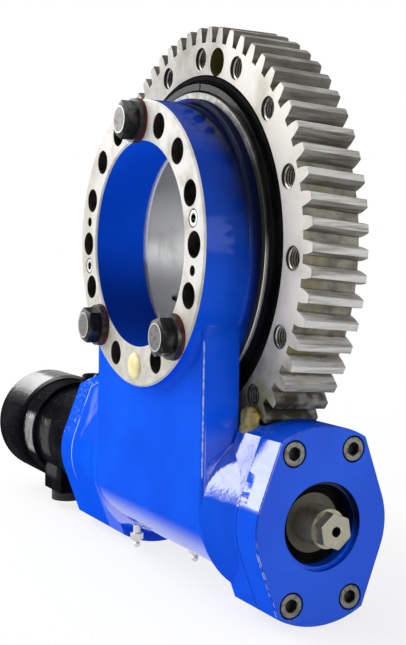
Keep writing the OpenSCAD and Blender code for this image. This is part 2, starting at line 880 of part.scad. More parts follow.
module long_screws() {
  grip = motor_body_l / 4;
  color(dark) back_worm(motor_end) for (k = [0:long_screw_n - 1])
    rotate((k + 0.5) * 360 / long_screw_n) translate([long_screw_circle_r, 0, 0]) {
      rod(long_screw_r, valve_l + gerotor_l + grip + over, -valve_l - gerotor_l - grip);
      hex_head(long_screw_flats, long_screw_head, long_screw_flats * 0.44);
    }
}

module motor_bolts() {
  color(dark) back_worm(body_x) for (s = [-1, 1]) translate([s * motor_bolt_half, 0, 0]) {
    rod(motor_bolt_r, motor_flange_t + motor_bolt_grip + over, -motor_flange_t - motor_bolt_grip);
    difference() {
      rod(motor_head_r, motor_head);
      hex_rod(motor_bolt_r * 5 / 3, motor_bolt_r + over, motor_head - motor_bolt_r);
    }
  }
}

module port_caps() {
  color(dark) for (s = [-1, 1])
    translate([-cap_x, worm_y + s * port_half, worm_z - port_block_down]) {
      rod(port_bore_r, port_bore_l - over);
      mirror([0, 0, 1]) {
        rod(cap_r, cap_h - over);
        translate([0, 0, cap_h - over]) cylinder(r1 = cap_r, r2 = cap_r - over, h = over);
      }
    }
}

module drain_plug() {
  color(dark) translate([-boss_x, worm_y, worm_z + boss_up]) {
    rod(drain_thread_r, drain_head * 2 - over, over - drain_head * 2);
    hex_head(drain_flats, drain_head, drain_flats * 0.45);
  }
}

// a child at each nipple's flat seat under the tunnel, local Z pointing up
module nipple_places() {
  for (n = nipple_shares)
    translate([n[0] * pillar_half, worm_y + n[1] * tunnel_r, worm_z - n[2] * tunnel_r])
      children();
}

module grease_nipples() {
  color(steel) nipple_places() {
    rod(nipple_thread_r, nipple_thread_l + over, -over);
    mirror([0, 0, 1]) {
      hex_rod(nipple_flats, nipple_hex);
      rod(nipple_ball_r * 0.7, nipple_tip + nipple_hex - nipple_ball_r);
      translate([0, 0, nipple_hex + nipple_tip - nipple_ball_r]) sphere(r = nipple_ball_r);
      translate([0, 0, nipple_hex])
        cylinder(r1 = nipple_flats * 0.42, r2 = nipple_ball_r * 0.7, h = nipple_tip / 3);
    }
  }
}

// half of the gap between two teeth at a radius, as an angle about the ring's axis
function inv(a) = tan(a) * 180 / PI - a;
function gap_half(r) =
  pitch_a / 4 + inv(acos(min(1, base_r / max(r, base_r)))) - inv(tooth_angle)
  ;

// radii at which the flanks are drawn, as shares of the tooth's height
flank_shares = [0, 0.1, 0.3, 0.55, 0.8, 1, 1.15];

// the slanted prism that cuts one gap between two teeth at the bottom of the ring
module tooth_gap() {
  h = tip_r - root_r;
  side = [for (s = flank_shares) let (r = root_r + s * h, g = gap_half(r))
    [r * sin(g), r * cos(g)]];
  translate([0, worm_y, 0]) rotate([0, 0, lead_a]) rotate([-90, 0, 0])
    linear_extrude(gear_w * 1.2, center = true)
      polygon(concat(side, [for (k = [len(side) - 1:-1:0]) [-side[k][0], side[k][1]]]));
}

// the toothed outer ring of the bearing, which carries the load
module gear_ring() {
  color(steel) difference() {
    along_y(gear_y) rotate_extrude() difference() {
      polygon([
        [outer_r, seal_d],
        [seal_r, seal_d],
        [seal_r, 0],
        [tip_r - tooth_edge, 0],
        [tip_r, tooth_edge],
        [tip_r, gear_w - tooth_edge],
        [tip_r - tooth_edge, gear_w],
        [back_seal_r, gear_w],
        [back_seal_r, gear_w - seal_d],
        [outer_r, gear_w - seal_d]
      ]);
      translate([race_r, gear_w / 2]) circle(r = ball_r + ball_play);
    }
    for (k = [0:teeth - 1]) rotate([0, -(tooth_turn + (k + 0.5) * pitch_a), 0]) tooth_gap();
    for (k = [0:gear_hole_n - 1])
      at_clock(gear_hole_a - k * 360 / gear_hole_n, gear_circle_r)
        along_y(gear_y - over) rod(gear_hole_r, gear_w + 2 * over);
    at_clock(dowel_a, dowel_circle_r) along_y(gear_y - over) rod(dowel_r, gear_w + 2 * over);
  }
}

// rubber ring in the front of the gear, with a thin lip under the retaining ring
module front_seal() {
  color(rubber) along_y(gear_y) rotate_extrude() polygon([
    [retainer_r, 0],
    [seal_band_r + thread_play, 0],
    [seal_band_r + thread_play, -over / 2],
    [seal_r - thread_play, -over / 2],
    [seal_r - thread_play, seal_d],
    [outer_r, seal_d]
  ]);
}

module seal_retainer() {
  color(bright) difference() {
    along_y(gear_y - retainer_t) difference() {
      rod(seal_band_r, retainer_t);
      rod(retainer_r, retainer_t + 2 * over, -over);
    }
    at_clock(split_a, 0) translate([0, gear_y - retainer_t - over, -retainer_split / 2])
      cube([seal_r, retainer_t + 2 * over, retainer_split]);
  }
}

module back_seal() {
  color(rubber) along_y(gear_end - seal_d) difference() {
    rod(back_seal_r - thread_play, seal_d);
    rod(inner_r + ball_play, seal_d + 2 * over, -over);
  }
}

module balls() {
  color(bright) for (k = [0:ball_n - 1]) at_clock(k * 360 / ball_n, race_r)
    translate([0, race_y, 0]) sphere(r = ball_r);
}

module ball_spacers() {
  w = 2 * race_r * sin(180 / ball_n) - 2 * ball_r - 2 * loose_play;
  color([0.85, 0.82, 0.7]) for (k = [0:ball_n - 1])
    at_clock((k + 0.5) * 360 / ball_n, race_r * cos(180 / ball_n))
      translate([0, race_y, -w / 2]) rod(spacer_r, w);
}

// sections of the thread round the worm, each a ring of four points
function thread_points(n) = [
  for (k = [0:n]) let (
    x = -worm_l / 2 + lead / 2 + (worm_l - lead) * k / n,
    a = 90 + 360 * (x - crest_x) / lead,
    rise = min(1, min(k, n - k) / (thread_steps / 3)),
    r1 = worm_root_r - over,
    r2 = worm_root_r + over + (worm_tip_r - worm_root_r - over) * rise,
    half = (lead / 2 - backlash) / 2,
    h1 = half + (worm_pitch_r - r1) * tan(tooth_angle),
    h2 = half + (worm_pitch_r - r2) * tan(tooth_angle)
  )
  for (p = [[x - h1, r1], [x - h2, r2], [x + h2, r2], [x + h1, r1]])
    [p[0], p[1] * cos(a), p[1] * sin(a)]
];

module worm_thread() {
  n = floor((worm_l - lead) / lead * thread_steps);
  pts = thread_points(n);
  translate([0, worm_y, worm_z]) polyhedron(points = pts, faces = concat(
    [[3, 2, 1, 0]],
    [for (k = [0:n - 1], j = [0:3]) let (a = 4 * k + j, b = 4 * k + (j + 1) % 4)
      [a, b, b + 4]],
    [for (k = [0:n - 1], j = [0:3]) let (a = 4 * k + j, b = 4 * k + (j + 1) % 4)
      [a, b + 4, a + 4]],
    [[4 * n, 4 * n + 1, 4 * n + 2, 4 * n + 3]]
  ));
}

// the worm with its journals, drive end and hollow motor end
module worm_shaft() {
  neck = worm_l / 2 + over;
  color(steel) difference() {
    union() {
      along_worm(-neck) rod(worm_root_r, 2 * neck);
      worm_thread();
      along_worm(neck) rod(worm_neck_r, bearing_x - neck);
      back_worm(neck) rod(worm_neck_r, bearing_x - neck);
      along_worm() rod(journal_r, journal_end);
      back_worm() rod(journal_r, worm_back_x);
      along_worm() rod(drive_r, drive_x);
      along_worm(drive_x) rotate(drive_a)
        hex_head(drive_flats, drive_hex_l, drive_face_r);
    }
    along_worm(drive_x + drive_hex_l - centre_hole_l) rod(centre_hole_r, centre_hole_l + over);
    back_worm(worm_back_x - motor_shaft_grip - over)
      rod(motor_shaft_r + run_play, motor_shaft_grip + 2 * over);
    back_worm(worm_back_x - key_l - over) key_block(key_l + 2 * over, run_play);
  }
}

// the key's block, half sunk in the motor shaft
module key_block(l, play) {
  translate([motor_shaft_r - key_h / 2 - play, -key_w / 2 - play, 0])
    cube([key_h + 2 * play, key_w + 2 * play, l]);
}

module motor_shaft() {
  color(steel) difference() {
    back_worm(worm_back_x - motor_shaft_grip)
      rod(motor_shaft_r, motor_shaft_grip + body_x - worm_back_x + motor_body_l / 4);
    back_worm(worm_back_x - key_l - over) key_block(key_l + 2 * over, run_play);
  }
}

module shaft_key() color(steel) back_worm(worm_back_x - key_l) key_block(key_l, 0);

housing();
inner_ring();
ring_bolts();
bolt_washers();
fibre_washers();
hole_plug();
port_plugs();
end_cover();
cover_screws();
shaft_seal();
right_cup();
left_cup();
motor_adapter();
motor_plate();
plate_screws();
adapter_seal();
motor_housing();
gerotor_ring();
valve_section();
long_screws();
motor_bolts();
port_caps();
drain_plug();
grease_nipples();
gear_ring();
front_seal();
seal_retainer();
back_seal();
balls();
ball_spacers();
worm_shaft();
right_cone();
left_cone();
motor_shaft();
shaft_key();
right_rollers();
left_rollers();
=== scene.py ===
import math
from types import SimpleNamespace
import bpy
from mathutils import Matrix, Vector


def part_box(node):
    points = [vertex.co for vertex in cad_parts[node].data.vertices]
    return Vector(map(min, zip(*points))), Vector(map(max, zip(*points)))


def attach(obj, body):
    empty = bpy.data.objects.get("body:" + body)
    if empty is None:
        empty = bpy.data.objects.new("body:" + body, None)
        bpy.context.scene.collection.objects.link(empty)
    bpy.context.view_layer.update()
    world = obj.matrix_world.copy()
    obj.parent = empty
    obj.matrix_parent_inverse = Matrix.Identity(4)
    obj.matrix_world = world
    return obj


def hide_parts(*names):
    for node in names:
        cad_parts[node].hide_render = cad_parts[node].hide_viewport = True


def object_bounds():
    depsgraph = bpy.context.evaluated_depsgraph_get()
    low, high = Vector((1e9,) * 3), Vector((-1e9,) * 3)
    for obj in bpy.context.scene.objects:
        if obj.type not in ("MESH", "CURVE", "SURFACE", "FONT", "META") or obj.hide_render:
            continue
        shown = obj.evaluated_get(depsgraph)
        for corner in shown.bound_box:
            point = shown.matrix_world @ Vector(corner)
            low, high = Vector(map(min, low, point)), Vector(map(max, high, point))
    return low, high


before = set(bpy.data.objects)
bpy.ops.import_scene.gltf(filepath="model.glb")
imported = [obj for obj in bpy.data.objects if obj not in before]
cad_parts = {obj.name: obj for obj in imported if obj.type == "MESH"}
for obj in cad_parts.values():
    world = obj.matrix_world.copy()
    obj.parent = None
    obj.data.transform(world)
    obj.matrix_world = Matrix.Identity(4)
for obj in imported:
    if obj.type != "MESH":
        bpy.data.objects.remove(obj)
cadBox = [list(corner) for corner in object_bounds()]
print("frame loaded:", len(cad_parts), "nodes")

# the worm's axis runs along X at this height; the ring's axis is the Y axis
wormY, wormZ = 0.0676, -0.1805
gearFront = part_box("gear_ring")[0].y
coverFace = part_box("end_cover")[1].x
coverSeam = 0.1193  # between the casting and the end cover
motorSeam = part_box("motor_adapter")[0].x
gearHoles = {"circle": 0.135, "count": 16, "first": 19.2}  # first in degrees
inHand = SimpleNamespace(tree=None)  # the node tree that new nodes go into


# ways to add and join material nodes; a source is a number, a colour, a node,
# or a node together with the output to take from it

def addNode(kind, values=None, **settings):
    made = inHand.tree.nodes.new(kind)
    for name, value in settings.items():
        setattr(made, name, value)
    for name, value in (values or {}).items():
        made.inputs[name].default_value = value
    return made


def plug(source, socket):
    if isinstance(source, (int, float)):
        socket.default_value = source
    elif isinstance(source, tuple) and isinstance(source[0], float):
        socket.default_value = (*source, 1)
    elif isinstance(source, tuple):
        inHand.tree.links.new(source[0].outputs[source[1]], socket)
    else:
        inHand.tree.links.new(source.outputs[0], socket)


def openTree(owner):  # a material or a world
    owner.use_nodes = True
    inHand.tree = owner.node_tree
    inHand.tree.nodes.clear()


def calc(operation, *terms):
    made = addNode("ShaderNodeMath", operation=operation)
    for socket, term in zip(made.inputs, terms):
        plug(term, socket)
    return made


def both(*masks):  # all of them multiplied
    found = masks[0]
    for mask in masks[1:]:
        found = calc("MULTIPLY", found, mask)
    return found


def either(*masks):  # the strongest of them
    found = masks[0]
    for mask in masks[1:]:
        found = calc("MAXIMUM", found, mask)
    return found


def less(source, limit):
    return calc("LESS_THAN", source, limit)


def more(source, limit):
    return calc("GREATER_THAN", source, limit)


def between(source, low, high):
    return both(more(source, low), less(source, high))


def gap(first, second):
    return calc("SUBTRACT", first, second)


def amount(source):
    return calc("ABSOLUTE", source)


def ramp(source, start, end, least=0.0, most=1.0):
    # goes smoothly from least to most while the source goes from start to end, up or down
    made = addNode("ShaderNodeMapRange", {
        "From Min": start, "From Max": end, "To Min": least, "To Max": most},
                   interpolation_type="SMOOTHSTEP")
    plug(source, made.inputs["Value"])
    return made


def within(source, low, high, soft=0.0002):  # 1 between low and high
    return both(ramp(source, low - soft, low), ramp(source, high + soft, high))


def spread(source, least, most):  # turns 0 to 1 into least to most
    made = addNode("ShaderNodeMapRange", {"To Min": least, "To Max": most})
    plug(source, made.inputs["Value"])
    return made


def places():  # object coordinates, whole and in parts, and the surface's direction
    coords = addNode("ShaderNodeTexCoord")
    place = addNode("ShaderNodeSeparateXYZ")
    plug((coords, "Object"), place.inputs[0])
    facing = addNode("ShaderNodeSeparateXYZ")
    plug((coords, "Normal"), facing.inputs[0])
    return SimpleNamespace(coords=coords, x=(place, 0), y=(place, 1), z=(place, 2),
                           facingX=(facing, 0), facingY=(facing, 1), facingZ=(facing, 2))


def noise(at, scale, detail, stretch=None, rough=0.5):
    made = addNode("ShaderNodeTexNoise", {"Scale": scale, "Detail": detail, "Roughness": rough})
    source = (at.coords, "Object")
    if stretch:
        mapping = addNode("ShaderNodeMapping", {"Scale": stretch})
        plug(source, mapping.inputs["Vector"])
        source = mapping
    plug(source, made.inputs["Vector"])
    return made


def blotches(at, scale, detail, start, end, least=0.0, most=1.0, stretch=None, rough=0.5):
    # noise cut between two levels; the looks below give these values in this order
    return ramp(noise(at, scale, detail, stretch, rough), start, end, least, most)


def ragged(source, pattern, width):  # shifts the source by up to half the width
    return calc("ADD", source, both(gap(pattern, 0.5), width))


def mixColour(factor, first, second):  # the node's colours are sockets 6 and 7, output 2
    made = addNode("ShaderNodeMix", data_type="RGBA")
    plug(factor, made.inputs[0])
    plug(first, made.inputs[6])
    plug(second, made.inputs[7])
    return made, 2


def bump(height, distance, strength, below):
    made = addNode("ShaderNodeBump", {"Strength": strength, "Distance": distance})
    plug(height, made.inputs["Height"])
    plug(below, made.inputs["Normal"])
    return made


def softEdge(width, samples=4):  # sharp edges catch the light as if rounded a little
    return addNode("ShaderNodeBevel", {"Radius": width}, samples=samples)


def leanTo(lean, normal):  # tips the normal towards +X
    aside = addNode("ShaderNodeCombineXYZ")
    plug(lean, aside.inputs[0])
    total = addNode("ShaderNodeVectorMath", operation="ADD")
    plug(normal, total.inputs[0])
    plug(aside, total.inputs[1])
    made = addNode("ShaderNodeVectorMath", operation="NORMALIZE")
    plug(total, made.inputs[0])
    return made


def blendShaders(factor, first, second):
    made = addNode("ShaderNodeMixShader")
    plug(factor, made.inputs[0])
    plug(first, made.inputs[1])
    plug(second, made.inputs[2])
    return made


def length2(first, second):
    return calc("SQRT", calc("ADD", both(first, first), both(second, second)))


def aboutRing(at):  # distance from the ring's axis
    return length2(at.x, at.z)


def aboutWorm(at):  # distance from the worm's axis
    return length2(gap(at.y, wormY), gap(at.z, wormZ))


def fromNearest(at, circle, count, first):
    # distance, seen along the ring's axis, from the nearest of the places that share out
    # a circle about that axis, counted from the angle first
    step = 2 * math.pi / count
    angle = calc("ARCTAN2", at.z, at.x)
    near = calc("WRAP", gap(angle, math.radians(first)), step / 2, -step / 2)
    radius = aboutRing(at)
    squares = calc("ADD", both(radius, radius), circle * circle)
    part = both(radius, 2 * circle, calc("COSINE", near))
    return calc("SQRT", calc("MAXIMUM", gap(squares, part), 0.0))


def marked(colour, marks):  # lays each mark's colour over the colour by its mask
    for mask, over in marks:
        colour = mixColour(mask, colour, over)
    return colour


paintWay = {
    "cloudLevels": (0.35, 0.7), "cloudDetail": 3, "fineDetail": 2, "peelStrength": 0.6,
    "waveStrength": 0.7, "roughShares": (0.8, 1.25), "ior": 1.5,
}


def paintShader(at, look, marks=(), coat=None, lean=None):
    way = paintWay
    cloud = noise(at, look["cloudScale"], way["cloudDetail"])
    colour = mixColour(ramp(cloud, *way["cloudLevels"]), look["dark"], look["light"])
    peel = noise(at, look["peelScale"], way["fineDetail"])
    waves = noise(at, look["waveScale"], way["fineDetail"])
    normal = softEdge(look["edge"])
    if lean:
        normal = leanTo(lean, normal)
    normal = bump(waves, look["waveHeight"], way["waveStrength"], normal)
    normal = bump(peel, look["peelHeight"], way["peelStrength"], normal)
    shader = addNode("ShaderNodeBsdfPrincipled", {
        "Specular IOR Level": look["shine"], "Coat Roughness": look["coatRoughness"],
        "Coat Weight": look["coat"], "Coat IOR": look.get("coatIor", way["ior"]),
        "IOR": way["ior"]})
    if coat:
        plug(coat, shader.inputs["Coat Weight"])
    plug(marked(colour, marks), shader.inputs["Base Color"])
    plug(spread(cloud, *(look["roughness"] * share for share in way["roughShares"])),
         shader.inputs["Roughness"])
    plug(normal, shader.inputs["Normal"])
    plug(normal, shader.inputs["Coat Normal"])
    return shader


steelWay = {
    "stainLevels": (0.42, 0.72), "detail": 4, "lineStrength": 0.5, "roughShares": (0.75, 1.3),
    "shine": 0.3,
}


def steelShader(at, look, marks=(), grain=(1, 1, 1)):
    way = steelWay
    lines = noise(at, look["lineScale"], way["detail"], grain)
    stain = ramp(noise(at, look["stainScale"], way["detail"]), *way["stainLevels"])
    colour = mixColour(stain, look["clean"], look["stained"])
    shader = addNode("ShaderNodeBsdfPrincipled", {
        "Metallic": look["metallic"], "Specular IOR Level": look.get("shine", way["shine"])})
    plug(marked(colour, marks), shader.inputs["Base Color"])
    plug(spread(lines, *(look["roughness"] * share for share in way["roughShares"])),
         shader.inputs["Roughness"])
    plug(bump(lines, look["lineDepth"], way["lineStrength"],
              softEdge(look["edge"])), shader.inputs["Normal"])
    return shader


# the blue enamel and the bare metal on the castings

enamel = {
    "light": (0.0045, 0.100, 0.80), "dark": (0.0035, 0.080, 0.71), "cloudScale": 16,
    "peelScale": 520, "peelHeight": 0.00010, "waveScale": 60, "waveHeight": 0.00018,
    "roughness": 0.32, "shine": 0.0, "coat": 0.020, "coatRoughness": 0.06, "edge": 0.0006,
    "coatIor": 3.0,
    # on the next line the first colour is a painted highlight and the third is painted shade; both
    # colours on the line after are painted shade
    "wornAndPaintedHighlight": (0.50, 0.58, 0.80), "seam": (0.002, 0.010, 0.060), "grime": (0.003, 0.016, 0.14),
    "mouthShade": (0.002, 0.007, 0.045), "rimShadeColour": (0.004, 0.006, 0.014),
    "seamHalf": 0.0003, "seamSoft": 0.0001,
}
machined = {
    "clean": (0.69, 0.68, 0.65), "stained": (0.44, 0.42, 0.35), "oily": (0.44, 0.425, 0.35),
    "lineScale": 700, "stainScale": 42, "lineDepth": 0.00005, "roughness": 0.50,
    "metallic": 0.08, "edge": 0.0004, "shine": 0.10,
}
# steel darkened with painted shade, for the insides of holes, the worm's tunnel and the seals'
# seats
holeShadeSteel = {
    "clean": (0.085, 0.080, 0.070), "stained": (0.022, 0.020, 0.016), "lineScale": 700,
    "stainScale": 90, "lineDepth": 0.00008, "roughness": 0.42, "metallic": 0.7, "edge": 0.0004,
}
wetLook = {
    "streaks": (30, 4, (0.6, 6, 2.4), 0.65), "raggedness": 0.10, "slope": (0.22, 0.27),
    "fromX": (0.0865, 0.0885), "beforeY": 0.050, "belowZ": -0.100, "coat": 0.55,
    "uneven": (0.35, 0.65, 0.85, 1.0),
    "crackX": (coverSeam + 0.0012, coverSeam + 0.0068, 0.003), "crackLevels": (0.50, 0.56),
}


def wetPaint(at):  # enamel that ran thick and glossy on the sloping tops at the drive end
    look = wetLook
    streaks = noise(at, *look["streaks"])
    cracks = both(within(at.x, *look["crackX"]), ramp(streaks, *look["crackLevels"]))
    return both(ramp(ragged(at.facingZ, streaks, look["raggedness"]),
                     *look["slope"]),
                ramp(at.x, *look["fromX"]), less(at.y, look["beforeY"]),
                less(at.z, look["belowZ"]), gap(1.0, cracks), look["coat"],
                ramp(streaks, *look["uneven"]))


def seamMark(at, place):  # a dark line where two painted pieces meet
    return within(at.x, place - enamel["seamHalf"], place + enamel["seamHalf"],
                  enamel["seamSoft"]), enamel["seam"]


castingLook = {
    # a painted highlight: a pale line along the rounded front edge of the pillar's right side
    "pillarEdge": (0.0871, 0.0094), "edgeHalf": 0.0003, "edgeZ": (-0.152, -0.066, 0.004),
    "pillarHighlightBlotches": (260, 3, 0.40, 0.52, 0.30, 0.85),
    # the barrel's outside, dulled and darkened with painted shade, deepest at its back edge
    "barrelRadius": (0.100, 0.102), "barrelY": (0.0015, 0.0405, 0.0004),
    "barrelZ": (-0.072, -0.050), "barrelCoat": 0.025, "smudgeAndShadeBlotches": (34, 4, 0.32, 0.68, 0.82, 1.0),
    "shadeX": (-0.01, 0.02), "shadeY": (0.004, 0.030, 0.66, 0.97),
    "shadeZ": (-0.05, 0.05, 0.35, 1.0), "shadeRimY": (0.0330, 0.0375),
    "rimShadeX": (-0.025, 0.025), "oilAndRimShadeY": (0.028, 0.0395), "rimShadeRise": 0.14, "rimShadeNoise": (90, 4),
    "rimShadeShares": (0.75, 1.0), "topY": (0.0330, 0.0300), "topZ": (0.050, 0.085), "topCoat": 0.15,
    "boreRadius": 0.0750, "boreShadeZ": (0.010, -0.052), "boreShade": 0.75,
    "underFacing": (-0.22, -0.60), "underX": (0.088, 0.082), "underZ": -0.175,
    # enamel pooled at the foot of the pillar's right side
    "footFacing": (0.90, 0.97), "footX": (0.084, 0.092), "footY": 0.042,
    "footZ": (-0.114, -0.134), "footNoise": (70, 3), "footRagged": 0.012, "footCoat": 0.75,
    # the flare's slope runs on to the cover, where the enamel has filled the corner
    "fillX": 0.0876, "fillY": 0.045, "fillFacingX": (0.25, 0.05), "fillFacingZ": (0.20, 0.28),
    "fillSlope": 0.30,
    # the machined ring face and its holes
    "faceY": 0.0013, "lowZ": (-0.02, -0.085), "lowStains": (120, 4, 0.3, 0.7, 0.3, 0.9),
    "leftX": (-0.045, -0.095), "leftStains": (60, 4, 0.3, 0.7, 0.3, 0.8),
    "grain": (1400, 2, 0.40, 0.75, 0.0, 0.3), "wallRadius": (0.0755, 0.1012),
    "wallY": (0.0003, 0.0406), "tunnelRadius": 0.0345,
}


def blueCasting(at, look):  # enamel, machined steel on the ring face, steel darkened with painted shade in its holes
    radius = aboutRing(at)
    # painted highlight along the pillar's rounded right front edge
    pillarHighlight = both(
        *(within(place, edge - look["edgeHalf"], edge + look["edgeHalf"])
          for place, edge in zip((at.x, at.y), look["pillarEdge"])),
        within(at.z, *look["edgeZ"]), blotches(at, *look["pillarHighlightBlotches"]))
    onBarrel = both(ramp(radius, *look["barrelRadius"]),
                    within(at.y, *look["barrelY"]), ramp(at.z, *look["barrelZ"]))
    # painted shade on the barrel's right side, deepening towards the gear and the top, in blotches
    shade = both(onBarrel, ramp(at.x, *look["shadeX"]),
                 blotches(at, *look["smudgeAndShadeBlotches"]), either(
                     both(ramp(at.y, *look["shadeY"]),
                          ramp(at.z, *look["shadeZ"])),
                     ramp(at.y, *look["shadeRimY"])))
    # painted shade, near black, at the barrel's back edge beside the bearing, reaching further
    # forward towards the top
    rimShadeDepth = calc("ADD", at.y, both(at.z, look["rimShadeRise"]))
    rimShade = both(onBarrel, ramp(at.x, *look["rimShadeX"]),
                    ramp(rimShadeDepth, *look["oilAndRimShadeY"]),
                    spread(noise(at, *look["rimShadeNoise"]), *look["rimShadeShares"]))
    # painted shade on the lower part of the bore
    lowBore = both(less(radius, look["boreRadius"]),
                   ramp(at.z, *look["boreShadeZ"]), look["boreShade"])
    under = both(ramp(at.facingZ, *look["underFacing"]),
                 less(at.z, look["underZ"]), ramp(at.x, *look["underX"]))
    footTop = ragged(at.z, noise(at, *look["footNoise"]), look["footRagged"])
    foot = both(ramp(at.facingX, *look["footFacing"]), look["footCoat"],
                within(at.x, *look["footX"]), less(at.y, look["footY"]),
                ramp(footTop, *look["footZ"]))
    top = both(onBarrel, ramp(at.z, *look["topZ"]), ramp(at.y, *look["topY"]), look["topCoat"])
    coat = either(wetPaint(at), foot, both(onBarrel, look["barrelCoat"]), top,
                  under, both(more(radius, look["boreRadius"]), enamel["coat"]))
    lean = both(more(at.x, look["fillX"]), less(at.y, look["fillY"]),
                ramp(at.facingX, *look["fillFacingX"]),
                ramp(at.facingZ, *look["fillFacingZ"]), look["fillSlope"])
    paint = paintShader(at, enamel, [
        (shade, enamel["grime"]), (rimShade, enamel["rimShadeColour"]), (lowBore, enamel["grime"]),
        seamMark(at, coverSeam), (pillarHighlight, enamel["wornAndPaintedHighlight"])], coat, lean)
    low = both(ramp(at.z, *look["lowZ"]), blotches(at, *look["lowStains"]))
    left = both(ramp(at.x, *look["leftX"]), blotches(at, *look["leftStains"]))
    bare = steelShader(at, machined, [
        (either(low, left), machined["oily"]),
        (blotches(at, *look["grain"]), machined["stained"])])
    holes = steelShader(at, holeShadeSteel)
    dark = either(both(between(radius, *look["wallRadius"]),
                       between(at.y, *look["wallY"])),
                  less(aboutWorm(at), look["tunnelRadius"]))
    first = blendShaders(less(at.y, look["faceY"]), paint, bare)
    return blendShaders(dark, first, holes)


coverLook = {
    # the blotches on the next line and the edge places after it lay a painted highlight on the
    # lower front edge
    "throatRadius": 0.0262, "wear": (180, 4, 0.47, 0.56), "coverEdgeHighlightRough": 0.6,
    "edgeX": (coverFace - 0.0017, coverFace - 0.0001, 0.0004), "edgeY": 0.045,
    "edgeZ": (-0.176, -0.196), "edgeFacing": (0.97, 0.90),
    "mouthRadius": 0.0325, "mouthX": coverFace - 0.0005, "mouthZ": (wormZ - 0.022, wormZ + 0.004),
    "faceFacing": (0.95, 0.99, 0.0, 0.10),
}


def bareThroat(at, paint):  # no paint inside the seal's seat, its steel darkened with painted shade
    return blendShaders(less(aboutWorm(at), coverLook["throatRadius"]), paint,
                        steelShader(at, holeShadeSteel))


def blueCover(at, look):  # enamel down to the seal's seat, a painted highlight at the lower front edge, painted shade in the upper mouth
    coverEdgeHighlight = both(within(at.x, *look["edgeX"]), ramp(at.z, *look["edgeZ"]),
                     less(at.y, look["edgeY"]), ramp(at.facingX, *look["edgeFacing"]),
                     blotches(at, *look["wear"], rough=look["coverEdgeHighlightRough"]))
    # painted shade on the upper wall of the mouth
    upperMouth = both(less(aboutWorm(at), look["mouthRadius"]),
                      ramp(at.z, *look["mouthZ"]), less(at.x, look["mouthX"]))
    coat = either(wetPaint(at), ramp(at.facingX, *look["faceFacing"]), enamel["coat"])
    paint = paintShader(at, enamel, [
        seamMark(at, coverSeam), (coverEdgeHighlight, enamel["wornAndPaintedHighlight"]),
        (upperMouth, enamel["mouthShade"])], coat)
    return bareThroat(at, paint)


motorEndLook = {
    # the specks, the seam line and the smear below are pale painted highlights, the specks and the
    # smear glossier too
    "upperFacing": (0.22, 0.30), "specks": (520, 2, 0.62, 0.70), "speckCoat": 0.5,
    "speckShare": 0.25, "seamHalf": 0.0004, "seamZ": (-0.215, -0.180),
    "seamHighlight": (90, 3, 0.32, 0.44), "smearAndPaintedSheenX": motorSeam + 0.006,
    "smear": (60, 3, 0.52, 0.68, 0.0, 0.10, (1.6, 1, 0.35)), "coat": 0.006,
}


def blueMotorEnd(at, look):  # enamel with glossy specks on its upper flat, pale as painted highlight, a glossy painted sheen further towards the drive, and a painted highlight along the seam
    upper = both(ramp(at.facingZ, *look["upperFacing"]), less(at.y, wormY))
    specks = both(upper, less(at.x, motorSeam), blotches(at, *look["specks"]))
    seamHighlight = both(within(at.x, motorSeam - look["seamHalf"],
                           motorSeam + look["seamHalf"]),
                    ramp(at.z, *look["seamZ"]), blotches(at, *look["seamHighlight"]))
    smear = both(upper, more(at.x, look["smearAndPaintedSheenX"]), blotches(at, *look["smear"]))
    coat = either(both(specks, look["speckCoat"]), smear, look["coat"])
    paint = paintShader(at, enamel, [
        seamMark(at, -coverSeam), (seamHighlight, enamel["wornAndPaintedHighlight"]),
        (both(specks, look["speckShare"]), enamel["wornAndPaintedHighlight"]), (smear, enamel["wornAndPaintedHighlight"])], coat)
    return bareThroat(at, paint)


